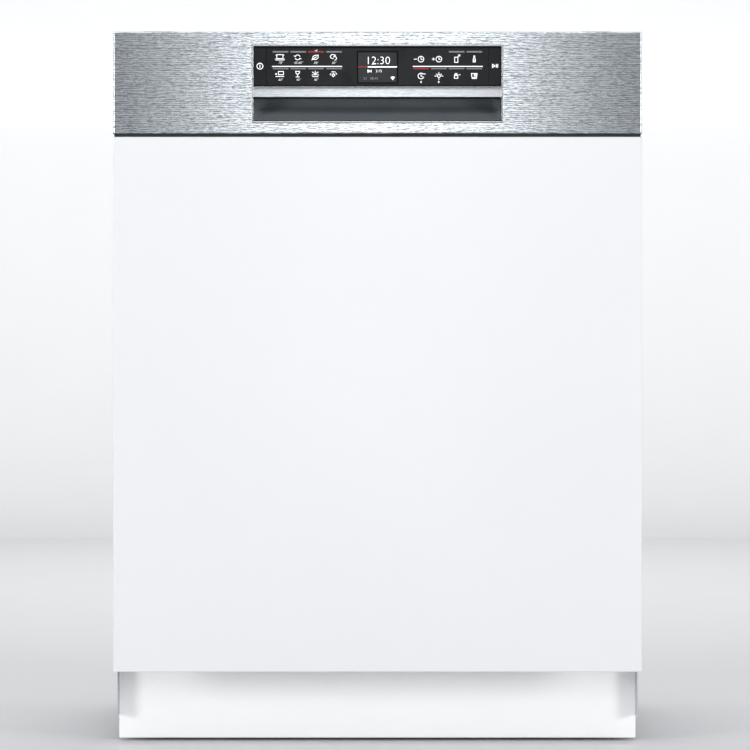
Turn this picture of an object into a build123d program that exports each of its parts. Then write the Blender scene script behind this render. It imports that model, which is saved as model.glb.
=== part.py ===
from build123d import *
import math
import os

# Built-in dishwasher, semi-integrated: a brushed fascia and a furniture front on a drop-down door,
# a steel tub with two racks and a cutlery tray, and a plastic base with the pumps and feet.
# Millimetres. X runs across the front, Y runs from the front (low) to the rear (high), Z is up.
# The origin is on the floor, under the middle of the whole appliance.

# ---- whole appliance ----
WIDTH = 598.0
DEPTH = 573.0
HEIGHT = 815.0
FRONT_Y = -DEPTH / 2
REAR_Y = DEPTH / 2

# ---- sheet and moulding walls ----
SHEET = 0.8
MOULDING = 2.0
SEAT_GAP = 0.3           # between pieces that meet but may move or are soft
WELD_GAP = 0.05          # between the wires of a welded basket
RUNNING = 0.1            # radial clearance of a shaft in its bore

# ---- fascia and furniture front ----
TRIM_PROUD = 0.4
FACE_Y = FRONT_Y + TRIM_PROUD
FRONT_SIDE_GAP = 1.0     # the front is narrower than the body on each side
FRONT_HALF = WIDTH / 2 - FRONT_SIDE_GAP
PANEL_THICKNESS = 19.0
PANEL_BACK_Y = FACE_Y + PANEL_THICKNESS
PANEL_BOTTOM_Z = 88.0
PANEL_EDGE_RADIUS = 1.2
FASCIA_TOP_Z = HEIGHT - 5.5
FASCIA_HEIGHT = 115.0
FASCIA_BOTTOM_Z = FASCIA_TOP_Z - FASCIA_HEIGHT
FASCIA_SHEET = 1.0
FASCIA_EDGE_RADIUS = 1.8
FRONT_SEAM = 3.5
PANEL_TOP_Z = FASCIA_BOTTOM_Z - FRONT_SEAM

# ---- inlay in the fascia: keys and display above, grip below ----
INLAY_HALF = 141.6
INLAY_BOTTOM_Z = FASCIA_BOTTOM_Z + 11.9
INLAY_HEIGHT = 88.8
INLAY_TOP_Z = INLAY_BOTTOM_Z + INLAY_HEIGHT
TRIM_WIDTH = 1.8
TRIM_TOP_WIDTH = 1.0
TRIM_DEPTH = 5.0
GLASS_RECESS = 1.5
GLASS_THICKNESS = 3.0
GLASS_HEIGHT = 45.2
GLASS_Y = FACE_Y + GLASS_RECESS
GLASS_TOP_Z = INLAY_TOP_Z - TRIM_TOP_WIDTH - 0.2
GLASS_BOTTOM_Z = GLASS_TOP_Z - GLASS_HEIGHT
KEY_WIDTH = 14.2
KEY_GAP = 0.35
KEY_TRAVEL = 1.2
KEY_OUTER_X = INLAY_HALF - TRIM_WIDTH - 0.2
KEY_INNER_X = KEY_OUTER_X - KEY_WIDTH
DISPLAY_WIDTH = 46.4
DISPLAY_HEIGHT = 36.8
DISPLAY_TOP_GAP = 6.2
DISPLAY_FIT = 0.15
GRIP_HEIGHT = 12.0
GRIP_TOP_Z = GLASS_BOTTOM_Z - 0.3
GRIP_BOTTOM_Z = GRIP_TOP_Z - GRIP_HEIGHT
GRIP_THICKNESS = 5.8
POCKET_WALL = 2.0
POCKET_DEPTH = 36.0
POCKET_HALF = INLAY_HALF - TRIM_WIDTH - 0.3

# ---- door ----
HINGE_Z = 118.0
DOOR_THICKNESS = 54.0
DOOR_FACE_Y = PANEL_BACK_Y + DOOR_THICKNESS
HINGE_Y = DOOR_FACE_Y - 11.5
DOOR_BOTTOM_Z = HINGE_Z + 13.0
DOOR_SHEET_BOTTOM_Z = HINGE_Z - 14.0
DOOR_TOP_Z = FASCIA_TOP_Z - 3.5
DOOR_SIDE_STEP = 4.0     # from the front's edge in to the door's outer sheet
INNER_SHEET_STEP = 1.5
OUTER_SHEET_HALF = FRONT_HALF - DOOR_SIDE_STEP
INNER_SHEET_HALF = OUTER_SHEET_HALF - INNER_SHEET_STEP
SEAL_GAP = 5.5           # between the door's inner face and the tub's front frame
FRAME_Y = DOOR_FACE_Y + SEAL_GAP

# ---- outer body ----
SIDE_HALF = WIDTH / 2
SIDE_INNER_HALF = SIDE_HALF - SHEET
SIDE_BOTTOM_Z = 30.0
BODY_TOP_Z = HEIGHT - 4.0
REAR_PANEL = 1.0
BRACE = 1.2
MAT = 5.5

# ---- base ----
HINGE_SPACE = 18.2       # beside the base, for the hinges and springs
BASE_HALF = SIDE_INNER_HALF - HINGE_SPACE
BASE_WALL = 3.0
OUTRIGGER_HEIGHT = 30.0
OUTRIGGER_GAP = 30.0     # behind the springs' anchors
TOE_LUG_X = 140.0
BASE_BOTTOM_Z = 24.0
BASE_FRONT_Y = FRONT_Y + 136.5
BASE_REAR_Y = REAR_Y - 18.5
TOE_Y = FRONT_Y + 100.5
TOE_THICKNESS = 16.0
TOE_BOTTOM_Z = 4.0
TOE_TOP_Z = 96.0
TOE_CORNER_TOP_Z = 80.0

# ---- tub ----
FRAME_SHEET = 2.0
TUB_FRONT_Y = FRAME_Y + FRAME_SHEET
TUB_REAR_Y = REAR_Y - 24.5
TUB_STEP = 2.0           # from the base's side in to the tub's
TUB_HALF = BASE_HALF - TUB_STEP
TUB_INNER_HALF = TUB_HALF - SHEET
TUB_TOP_Z = HEIGHT - 26.0
TUB_CEILING_Z = TUB_TOP_Z - SHEET
TUB_CORNER = 30.0
BACK_PRESS = 4.0         # depth of the pressed panels in the tub's back
BACK_MARGIN = 60.0
TUB_FLOOR = 2.0
TUB_FLOOR_Z = HINGE_Z + 12.0
TUB_BASE_Z = TUB_FLOOR_Z - TUB_FLOOR
LEDGE_WIDTH = 16.0
LEDGE_TOP_Z = HINGE_Z + 21.2
SILL_Z = LEDGE_TOP_Z

# ---- feet ----
FOOT_PAD_RADIUS = 22.0
FOOT_ROD_RADIUS = 6.0
FOOT_ROD_TOP_Z = 94.0
FOOT_INSET = 30.0        # from the base's side in to the front feet
FOOT_X = BASE_HALF - FOOT_INSET
FRONT_FOOT_Y = BASE_FRONT_Y + 30.0
REAR_FOOT_Y = BASE_REAR_Y - 33.0
FOOT_BOSS_RADIUS = 12.0
ADJUSTER_X = 22.0
ADJUSTER_Z = 38.0
ADJUSTER_RADIUS = 4.0

# ---- hinge ----
HINGE_PIN_RADIUS = 4.0
BRACKET_INNER_X = BASE_HALF
BRACKET_THICKNESS = 3.0
ARM_GAP = 1.5
ARM_THICKNESS = 3.0
ARM_INNER_X = BRACKET_INNER_X + BRACKET_THICKNESS + ARM_GAP
ARM_MIDDLE_X = ARM_INNER_X + ARM_THICKNESS / 2
LEVER_Y = 45.0           # of the spring's eye behind the hinge pin
LEVER_Z = -30.0          # of the spring's eye above the hinge pin
SPRING_ANCHOR_Y = HINGE_Y + 265.0
SPRING_ANCHOR_Z = 50.0
SPRING_RADIUS = 5.5
SPRING_RING = 4.2
SPRING_WIRE = 1.8
LEVER_EYE_RADIUS = 7.0
SPRING_EYE_RADIUS = 2.8

# ---- water parts ----
PUMP_Y = (TUB_FRONT_Y + TUB_REAR_Y) / 2
FILTER_X = 95.0
FILTER_INSET = 146.8     # behind the tub's mouth
FILTER_Y = TUB_FRONT_Y + FILTER_INSET
FILTER_RADIUS = 34.0
SUMP_RADIUS = 75.0
SUMP_BOTTOM_Z = 46.0
WASH_PUMP_Z = 80.0
WASH_PUMP_RADIUS = 44.0
HEATER_LENGTH = 30.0
MOTOR_RADIUS = 38.0
MOTOR_GAP = 6.0
DRAIN_PUMP_Z = 72.0
DRAIN_PUMP_RADIUS = 32.0
DRAIN_PUMP_LENGTH = 25.0
DRAIN_MOTOR_RADIUS = 24.0
DRAIN_MOTOR_LENGTH = 55.0
SALT_X = -150.0
SALT_INSET = 113.8       # behind the tub's mouth
SALT_Y = TUB_FRONT_Y + SALT_INSET
SALT_NECK_RADIUS = 40.0
SALT_WALL = 3.0
SALT_VESSEL_HALF = 55.0
SALT_VESSEL_FRONT = 48.0
SALT_VESSEL_REAR = 50.0
SALT_BOTTOM_Z = 34.0
HUB_RADIUS = 16.0
LOWER_ARM_REACH = 212.0
UPPER_ARM_REACH = 195.0
ARM_BODY = 12.0

# ---- lower rack ----
WIRE = 3.6
RIM_WIRE = 5.0
RING_SHARE = 0.55        # height of the middle ring between floor and rim
WHEEL_RADIUS = 17.0
WHEEL_WIDTH = 8.0
WHEEL_SIDE_GAP = 4.2     # from a wheel's outer face to the tub's side
WHEEL_INNER_X = TUB_INNER_HALF - WHEEL_SIDE_GAP - WHEEL_WIDTH
WHEEL_Z = LEDGE_TOP_Z + SEAT_GAP + WHEEL_RADIUS
AXLE_RADIUS = 4.0
LOWER_SIDE_GAP = 23.2
LOWER_HALF = TUB_INNER_HALF - LOWER_SIDE_GAP
LOWER_FRONT_Y = TUB_FRONT_Y + 14.0
LOWER_REAR_Y = TUB_REAR_Y - 26.0
LOWER_FLOOR_Z = WHEEL_Z + 9.0
LOWER_RIM_Z = LOWER_FLOOR_Z + 165.0
FRONT_WHEEL_Y = LOWER_FRONT_Y + 97.0
REAR_WHEEL_Y = LOWER_REAR_Y - 98.0
TINE_HEIGHT = 84.0
TINE_WIRE = 3.4
TINE_STEP = 0.2          # the tines are this much slimmer in radius than their bar
TINE_PITCH = 30.0
TINE_COUNT = 13
ALONG_WIRES = 11         # floor wires from front to rear in each basket
ACROSS_WIRES = 10
ALONG_INSET = 36.0
ACROSS_INSET = 34.0
LOWER_PITCH_X = 2 * (LOWER_HALF - ALONG_INSET) / (ALONG_WIRES - 1)
TINE_ROW_X = LOWER_HALF - ALONG_INSET - 13.0
FIXED_TINE_X = 2 * LOWER_PITCH_X + 7.8

# ---- upper rack ----
TRAY_DROP = 88.2         # from the tub's ceiling to the underside of the tray
TRAY_Z = TUB_CEILING_Z - TRAY_DROP
UPPER_SIDE_GAP = 29.2
UPPER_HALF = TUB_INNER_HALF - UPPER_SIDE_GAP
UPPER_FRONT_Y = TUB_FRONT_Y + 21.0
UPPER_REAR_Y = TUB_REAR_Y - 48.0
UPPER_PITCH_X = 2 * (UPPER_HALF - ALONG_INSET) / (ALONG_WIRES - 1)
UPPER_TINE_X = UPPER_PITCH_X + 23.6
UPPER_TINE_HEIGHT = 44.0
UPPER_SPACE = 245.0      # from the upper basket's floor to the tray
UPPER_DEPTH = 105.0
UPPER_FLOOR_Z = TRAY_Z - UPPER_SPACE
UPPER_RIM_Z = UPPER_FLOOR_Z + UPPER_DEPTH
RAIL_LENGTH = 390.0
RAIL_HEIGHT = 28.0
RAIL_Z = UPPER_RIM_Z - 10.0
RAIL_SHEET = 1.5
RAIL_GAP = 0.5
RAIL_DEPTH = 7.0
RAIL_PLATE = 4.0
RAIL_PLATE_LENGTH = 70.0
RAIL_PLATE_INSET = 60.0
RAIL_PLATE_DROP = 62.0
RAIL_STEP = RAIL_SHEET + RAIL_GAP
RACK_DROP = 50.0
SHELF_WIDTH = 80.0
SHELF_LENGTH = 320.0
SHELF_THICKNESS = 3.0
SHELF_HINGE_X = UPPER_HALF - 8.5
SHELF_Z = UPPER_FLOOR_Z + RING_SHARE * (UPPER_RIM_Z - UPPER_FLOOR_Z)

# ---- cutlery tray ----
TRAY_SIDE_GAP = 23.2
TRAY_HALF = TUB_INNER_HALF - TRAY_SIDE_GAP
TRAY_HEIGHT = 38.0
TRAY_FRONT_Y = TUB_FRONT_Y + 26.0
TRAY_REAR_Y = TUB_REAR_Y - 52.0
RUNNER_REACH = 20.0
RUNNER_THICKNESS = 5.0
TRAY_RAIL_SHEET = 2.0

# ---- dispenser on the door's inner face ----
DISPENSER_LEFT_X = -90.0
DISPENSER_WIDTH = 190.0
DISPENSER_BOTTOM_Z = 372.0
DISPENSER_HEIGHT = 120.0
DISPENSER_PROUD = 4.0
DISPENSER_DEPTH = 36.0
CHAMBER_WIDTH = 64.0
CHAMBER_HEIGHT = 60.0
CHAMBER_DEPTH = 30.0
LID_MARGIN = 4.0
LID_THICKNESS = 2.8
CAP_SIZE = 34.0


# ---------------------------------------------------------------- helpers
def block(x, y, z):
    """A box between (low, high) pairs along X, Y and Z."""
    size = [high - low for low, high in (x, y, z)]
    middle = [(high + low) / 2 for low, high in (x, y, z)]
    return Pos(*middle) * Box(*size)


def both_sides(x, y, z):
    """A box on the right and its mirror image on the left."""
    right = block(x, y, z)
    return [right, mirror(right, about=Plane.YZ)]


def rod(start, end, radius):
    """A round bar between two points."""
    line = Vector(*end) - Vector(*start)
    plane = Plane(origin=start, z_dir=line.normalized())
    return plane * Cylinder(radius, line.length, align=(Align.CENTER, Align.CENTER, Align.MIN))


def plate_xz(x, z, y, corner):
    """An upright plate with rounded corners, between two Y values."""
    outline = Pos((x[0] + x[1]) / 2, (z[0] + z[1]) / 2) * RectangleRounded(x[1] - x[0], z[1] - z[0], corner)
    return extrude(Plane.XZ.offset(-y[1]) * outline, y[1] - y[0])


def prism_yz(outline, x):
    """A prism along X with its outline given in Y and Z."""
    face = make_face(Polyline(*outline, close=True))
    return extrude(Plane.YZ.offset(x[0]) * face, x[1] - x[0])


def wire(points, diameter, bend):
    """A bent wire through the points, with the same bend radius at each."""
    path = FilletPolyline(*points, radius=bend)
    section = Plane(origin=path @ 0, z_dir=path % 0) * Circle(diameter / 2)
    return sweep(section, path=path)


def ring_wire(x, y, z, diameter, bend):
    """A closed rectangular wire ring at one height."""
    middle = (x[0] + x[1]) / 2
    corners = [(middle, y[0], z), (x[1], y[0], z), (x[1], y[1], z), (x[0], y[1], z), (x[0], y[0], z)]
    return wire(corners + [(middle - WELD_GAP, y[0], z)], diameter, bend)


def spread(low, high, count):
    """Evenly spaced values from low to high."""
    return [low + (high - low) * i / (count - 1) for i in range(count)]


# ---------------------------------------------------------------- base and feet
def base_tray():
    """The moulded base with its feet bosses, spring anchors, outriggers and toe panel lugs."""
    y = (BASE_FRONT_Y, BASE_REAR_Y)
    tray = block((-BASE_HALF, BASE_HALF), y, (BASE_BOTTOM_Z, TUB_BASE_Z))
    inner = BASE_HALF - BASE_WALL
    inside = (y[0] + BASE_WALL, y[1] - BASE_WALL)
    tray -= block((-inner, inner), inside, (BASE_BOTTOM_Z + BASE_WALL, TUB_BASE_Z))
    boss_top = FOOT_ROD_TOP_Z + 2
    feet = [(-FOOT_X, FRONT_FOOT_Y), (FOOT_X, FRONT_FOOT_Y), (0, REAR_FOOT_Y)]
    for x, fy in feet:
        tray += rod((x, fy, BASE_BOTTOM_Z), (x, fy, boss_top), FOOT_BOSS_RADIUS)
    outrigger = (BASE_HALF, SIDE_INNER_HALF)
    strip = (SPRING_ANCHOR_Y + OUTRIGGER_GAP, BASE_REAR_Y - BASE_WALL)
    z = (SIDE_BOTTOM_Z, SIDE_BOTTOM_Z + OUTRIGGER_HEIGHT)
    tray += both_sides(outrigger, strip, z)
    anchor_pin = SPRING_WIRE + 0.7
    for side in (-1, 1):
        start = (side * (BASE_HALF - 1), SPRING_ANCHOR_Y, SPRING_ANCHOR_Z)
        tray += rod(start, (side * (ARM_MIDDLE_X + 5), SPRING_ANCHOR_Y, SPRING_ANCHOR_Z), anchor_pin)
    lug = (TOE_LUG_X, TOE_LUG_X + OUTRIGGER_HEIGHT)
    tray += both_sides(lug, (TOE_Y + TOE_THICKNESS, BASE_FRONT_Y), z)
    for x, fy in feet:
        tray -= rod((x, fy, BASE_BOTTOM_Z - 1), (x, fy, boss_top + 1), FOOT_ROD_RADIUS + RUNNING)
    hole = ADJUSTER_RADIUS + RUNNING
    tray -= rod((ADJUSTER_X, y[0] - 1, ADJUSTER_Z), (ADJUSTER_X, y[0] + BASE_WALL + 1, ADJUSTER_Z), hole)
    for x, z, radius in CONNECTION_HOLES:
        tray -= rod((x, y[1] - BASE_WALL - 1, z), (x, y[1] + 1, z), radius)
    return tray


INLET_X = -215.0
DRAIN_X = -155.0
MAINS_X = 205.0
CONNECTION_Z = 62.0
INLET_RADIUS = 13.22
DRAIN_RADIUS = 10.5
MAINS_RADIUS = 17.0
CONNECTION_NECK = 0.6    # the connections are this much slimmer in radius in the base's wall
CONNECTION_START = 1.5   # from the wall to where the full radius begins
CONNECTION_REACH = 16.0
CONNECTION_HOLES = [
    (INLET_X, CONNECTION_Z, INLET_RADIUS - CONNECTION_NECK),
    (DRAIN_X, CONNECTION_Z, DRAIN_RADIUS - CONNECTION_NECK),
    (MAINS_X, CONNECTION_Z, MAINS_RADIUS),
]


def hose_end(x, radius, bore, flange, depth, hollow):
    """A round hose connection that passes through the base's rear wall, with a flange inside."""
    wall = BASE_REAR_Y - BASE_WALL
    start, end = BASE_REAR_Y + CONNECTION_START, BASE_REAR_Y + CONNECTION_REACH
    piece = rod((x, start, CONNECTION_Z), (x, end, CONNECTION_Z), radius)
    piece += rod((x, wall, CONNECTION_Z), (x, start, CONNECTION_Z), radius - CONNECTION_NECK)
    piece += rod((x, wall - depth, CONNECTION_Z), (x, wall, CONNECTION_Z), radius + flange)
    return piece - rod((x, wall - hollow, CONNECTION_Z), (x, end + 1, CONNECTION_Z), radius - bore)


def rear_connections():
    """The threaded water inlet with its valve, the drain spigot and the round mains inlet."""
    wall = BASE_REAR_Y - BASE_WALL
    inlet = hose_end(INLET_X, INLET_RADIUS, 4.5, 8, 45, 30)
    drain = hose_end(DRAIN_X, DRAIN_RADIUS, 2.5, 5, 18, 12)
    mains = rod((MAINS_X, wall, CONNECTION_Z), (MAINS_X, BASE_REAR_Y + 6, CONNECTION_Z), MAINS_RADIUS)
    mains += rod((MAINS_X, wall - 22, CONNECTION_Z), (MAINS_X, wall, CONNECTION_Z), MAINS_RADIUS + 4)
    socket = (CONNECTION_Z - 7, CONNECTION_Z + 7)
    mains -= block((MAINS_X - 11, MAINS_X + 11), (wall - 12, BASE_REAR_Y + 7), socket)
    for x in (MAINS_X - 6.5, MAINS_X, MAINS_X + 6.5):
        mains += block((x - 1, x + 1), (wall - 14, BASE_REAR_Y), (CONNECTION_Z - 2.5, CONNECTION_Z + 2.5))
    return [inlet, drain, mains]


def foot(x, y):
    """A levelling foot: pad, hexagon for the spanner and threaded rod."""
    pad = rod((x, y, 0), (x, y, 5), FOOT_PAD_RADIUS)
    pad += Pos(x, y, 5) * Cone(FOOT_PAD_RADIUS - 4, 10, 5, align=(Align.CENTER, Align.CENTER, Align.MIN))
    pad += Pos(x, y, 10) * extrude(RegularPolygon(11, 6), 8)
    return pad + rod((x, y, 18), (x, y, FOOT_ROD_TOP_Z), FOOT_ROD_RADIUS)


def rear_foot_adjuster():
    """The long rod that is turned at the front to raise the rear foot, with its pinion."""
    start, end = BASE_FRONT_Y - 8, REAR_FOOT_Y - 6
    bar = rod((ADJUSTER_X, start, ADJUSTER_Z), (ADJUSTER_X, end, ADJUSTER_Z), ADJUSTER_RADIUS)
    front, rear = [Plane(origin=(ADJUSTER_X, y, ADJUSTER_Z), z_dir=(0, -1, 0)) for y in (start, end)]
    head = front * extrude(RegularPolygon(5.5, 6), 7)
    pinion = rear * extrude(gear_outline(8.5, 7.0, 12), 8)
    return bar + head + pinion


def gear_outline(outer, root, teeth):
    """A toothed disc with straight-sided teeth."""
    points = []
    for i in range(teeth):
        for share, radius in ((0.0, root), (0.3, outer), (0.5, outer), (0.8, root)):
            angle = 2 * math.pi * (i + share) / teeth
            points.append((radius * math.cos(angle), radius * math.sin(angle)))
    return make_face(Polyline(*points, close=True))


def toe_panel():
    """The recessed panel under the door, lower at its corners to clear the hinges."""
    y = (TOE_Y, TOE_Y + TOE_THICKNESS)
    panel = block((-FRONT_HALF, FRONT_HALF), y, (TOE_BOTTOM_Z, TOE_TOP_Z))
    corner = (TOE_CORNER_TOP_Z, TOE_TOP_Z + 1)
    return panel - both_sides((BASE_HALF - 3, FRONT_HALF + 1), (y[0] - 1, y[1] + 1), corner)


# ---------------------------------------------------------------- tub
def tub_wrap():
    """The bent sheet that makes the tub's two sides and ceiling."""
    y = (TUB_FRONT_Y, TUB_REAR_Y)
    low = TUB_BASE_Z - 2 * TUB_CORNER
    wrap = plate_xz((-TUB_HALF, TUB_HALF), (low, TUB_TOP_Z), y, TUB_CORNER)
    inner = (-TUB_INNER_HALF, TUB_INNER_HALF)
    wrap -= plate_xz(inner, (low + SHEET, TUB_CEILING_Z), (y[0] - 1, y[1] + 1), TUB_CORNER - SHEET)
    return wrap - block((-TUB_HALF - 1, TUB_HALF + 1), (y[0] - 1, y[1] + 1), (low - 1, TUB_BASE_Z))


def tub_back():
    """The tub's back wall, with a pressed panel around the riser."""
    y = (TUB_REAR_Y, TUB_REAR_Y + SHEET)
    low = TUB_BASE_Z - 2 * TUB_CORNER
    wall = plate_xz((-TUB_HALF, TUB_HALF), (low, TUB_TOP_Z), y, TUB_CORNER)
    wall -= block((-TUB_HALF - 1, TUB_HALF + 1), (y[0] - 1, y[1] + 1), (low - 1, TUB_BASE_Z))
    press, margin = BACK_PRESS, BACK_MARGIN
    x = (margin, TUB_HALF - 2 * margin / 3)
    z = (TUB_FLOOR_Z + margin, TUB_CEILING_Z - margin)
    for side in (-1, 1):
        span = tuple(sorted((side * x[0], side * x[1])))
        outside = plate_xz(span, z, (y[0], y[1] + press), 20)
        hollow = ((span[0] + SHEET, span[1] - SHEET), (z[0] + SHEET, z[1] - SHEET))
        inset = plate_xz(*hollow, (y[0] - 1, y[0] + press), 19)
        wall = wall + outside - inset
    return wall


def tub_floor():
    """The tub's floor with side ledges for the wheels, the spray arm's hub, and its two openings."""
    y = (TUB_FRONT_Y, TUB_REAR_Y)
    floor = block((-TUB_INNER_HALF, TUB_INNER_HALF), y, (TUB_BASE_Z, TUB_FLOOR_Z))
    ledge = (TUB_INNER_HALF - LEDGE_WIDTH, TUB_INNER_HALF)
    floor += both_sides(ledge, y, (TUB_FLOOR_Z, LEDGE_TOP_Z))
    floor += rod((0, PUMP_Y, TUB_BASE_Z), (0, PUMP_Y, HUB_TOP_Z), HUB_RADIUS)
    floor -= rod((0, PUMP_Y, TUB_BASE_Z - 1), (0, PUMP_Y, HUB_TOP_Z + 1), HUB_RADIUS - 3)
    low, high = TUB_BASE_Z - 1, TUB_FLOOR_Z + 1
    floor -= rod((FILTER_X, FILTER_Y, low), (FILTER_X, FILTER_Y, high), SUMP_RADIUS - 10)
    return floor - rod((SALT_X, SALT_Y, low), (SALT_X, SALT_Y, high), SALT_NECK_RADIUS + SEAT_GAP)


HUB_TOP_Z = TUB_FLOOR_Z + 21.0
LOWER_ARM_Z = TUB_FLOOR_Z + 14.0
HUB_BORE = HUB_TOP_Z - LOWER_ARM_Z + 0.5


def tub_front_frame():
    """The frame around the tub's mouth, slotted for the hinge levers, with the door's striker."""
    y = (FRAME_Y, TUB_FRONT_Y)
    frame = block((-SIDE_INNER_HALF, SIDE_INNER_HALF), y, (DOOR_BOTTOM_Z - 1, BODY_TOP_Z))
    mouth = (-TUB_INNER_HALF, TUB_INNER_HALF)
    low = SILL_Z - 2 * TUB_CORNER
    opening = plate_xz(mouth, (low, TUB_CEILING_Z), (y[0] - 1, y[1] + 1), TUB_CORNER - SHEET)
    opening -= block((-TUB_HALF, TUB_HALF), (y[0] - 1, y[1] + 1), (low - 1, SILL_Z))
    frame -= opening
    slot = (ARM_INNER_X - 1, ARM_INNER_X + ARM_THICKNESS + 1.2)
    frame -= both_sides(slot, (y[0] - 1, y[1] + 1), (DOOR_BOTTOM_Z - 2, HINGE_Z + 56))
    striker = block((-9, 9), (STRIKER_Y, FRAME_Y), (STRIKER_Z, STRIKER_Z + 2.5))
    striker += block((-9, 9), (STRIKER_Y, STRIKER_Y + 2.5), (STRIKER_Z - 2.5, STRIKER_Z))
    return frame + striker


STRIKER_Y = FRAME_Y - 24.0
STRIKER_Z = DOOR_TOP_Z - 6.5
SEAL_WIDTH = 6.0
SEAL_INNER_X = TUB_INNER_HALF + 0.3


def door_gasket():
    """The rubber seal that runs round the tub's mouth, in front of the frame."""
    y = (DOOR_FACE_Y + SEAT_GAP, FRAME_Y)
    x = SEAL_INNER_X + SEAL_WIDTH
    top = TUB_CEILING_Z + 0.8
    seal = plate_xz((-x, x), (DOOR_BOTTOM_Z, top + SEAL_WIDTH), y, 6)
    inner = (-SEAL_INNER_X, SEAL_INNER_X)
    return seal - plate_xz(inner, (SILL_Z - 0.5, top), (y[0] - 1, y[1] + 1), 4)


def riser_pipe():
    """The flat duct up the back wall, its docking port for the upper rack, and the ceiling shower."""
    wall_y = TUB_REAR_Y - 12
    duct = block((-18, 18), (wall_y, TUB_REAR_Y), (TUB_FLOOR_Z, TUB_CEILING_Z - 0.2))
    duct += block((-12, 12), (PUMP_Y, TUB_REAR_Y), (TUB_CEILING_Z - 10, TUB_CEILING_Z - 0.2))
    duct += rod((0, PUMP_Y, TUB_CEILING_Z - 20), (0, PUMP_Y, TUB_CEILING_Z - 0.2), 30)
    port = block((-22, 22), (DOCK_Y, wall_y), (FEED_Z - RACK_DROP - 8, FEED_Z + 14))
    return duct + port


DOCK_Y = TUB_REAR_Y - 22.0
FEED_HEIGHT = 10.0
FEED_Z = UPPER_FLOOR_Z - WIRE / 2 - WELD_GAP - FEED_HEIGHT


def insulation_mat():
    """The felt mat over the tub's sides and ceiling."""
    y = (TUB_FRONT_Y + 2, TUB_REAR_Y)
    x = TUB_HALF + SEAT_GAP
    low = HINGE_Z + 70
    outer = plate_xz((-x - MAT, x + MAT), (low - 90, TUB_TOP_Z + SEAT_GAP + MAT), y, TUB_CORNER + MAT)
    gap = (y[0] - 1, y[1] + 1)
    outer -= plate_xz((-x, x), (low - 89, TUB_TOP_Z + SEAT_GAP), gap, TUB_CORNER)
    return outer - block((-x - MAT - 1, x + MAT + 1), gap, (low - 91, low))


# ---------------------------------------------------------------- outer body
def side_panels():
    """The two outer side sheets, each with a flange along its top."""
    y = (TUB_FRONT_Y, REAR_Y - REAR_PANEL)
    panel = block((SIDE_INNER_HALF, SIDE_HALF), y, (SIDE_BOTTOM_Z, BODY_TOP_Z))
    panel += block((SIDE_HALF - 14, SIDE_HALF), y, (BODY_TOP_Z - SHEET, BODY_TOP_Z))
    return [panel, mirror(panel, about=Plane.YZ)]


def rear_panel():
    """The flat sheet that closes the back above the base."""
    x = (-SIDE_HALF, SIDE_HALF)
    panel = block(x, (REAR_Y - REAR_PANEL, REAR_Y), (HINGE_Z, BODY_TOP_Z))
    half, face = SIDE_HALF - 70, REAR_Y - REAR_PANEL
    for z in spread(HINGE_Z + 80, BODY_TOP_Z - 90, 4):
        rib = plate_xz((-half, half), (z - 9, z + 9), (face - 2, face), 8)
        groove = plate_xz((-half + 1.5, half - 1.5), (z - 7.5, z + 7.5), (face - 1, REAR_Y + 1), 7)
        panel = panel + rib - groove
    return panel


def top_braces():
    """The front and rear cross braces on the body, and the two tabs that screw to a worktop."""
    z = (BODY_TOP_Z, BODY_TOP_Z + BRACE)
    front = block((-SIDE_HALF + 1, SIDE_HALF - 1), (FRAME_Y, FRAME_Y + 58), z)
    rear = block((-SIDE_HALF + 1, SIDE_HALF - 1), (REAR_Y - 56, REAR_Y), z)
    tabs = []
    for x in (-WORKTOP_SCREW_X, WORKTOP_SCREW_X):
        tab = block((x - 17, x + 17), (FRAME_Y + 6, FRAME_Y + 34), (z[1], HEIGHT - BRACE))
        tab += block((x - 17, x + 17), (FRAME_Y - 26, FRAME_Y + 34), (HEIGHT - BRACE, HEIGHT))
        screw_y = WORKTOP_SCREW_Y
        tab -= rod((x, screw_y, HEIGHT - BRACE - 1), (x, screw_y, HEIGHT + 1), WORKTOP_HOLE_RADIUS)
        tabs.append(tab)
    return [front, rear] + tabs


WORKTOP_SCREW_INSET = 49.0
WORKTOP_SCREW_X = SIDE_HALF - WORKTOP_SCREW_INSET
WORKTOP_SCREW_Y = FRAME_Y - 14.0
WORKTOP_HOLE_RADIUS = 2.25


# ---------------------------------------------------------------- water parts in the base
def sump():
    """The bowl under the filter, with the channel that feeds the spray arm's hub."""
    bowl = rod((FILTER_X, FILTER_Y, SUMP_BOTTOM_Z), (FILTER_X, FILTER_Y, TUB_BASE_Z), SUMP_RADIUS)
    length = math.hypot(FILTER_X, PUMP_Y - FILTER_Y)
    angle = math.degrees(math.atan2(PUMP_Y - FILTER_Y, -FILTER_X))
    height = 20.0
    channel = Box(length + HUB_RADIUS, 2 * HUB_RADIUS, height, align=(Align.MIN, Align.CENTER, Align.MAX))
    bowl += Pos(FILTER_X, FILTER_Y, TUB_BASE_Z) * Rot(0, 0, angle) * channel
    inside = SUMP_RADIUS - 2.5
    return bowl - rod((FILTER_X, FILTER_Y, SUMP_BOTTOM_Z + 2.5), (FILTER_X, FILTER_Y, TUB_BASE_Z + 1), inside)


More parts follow.
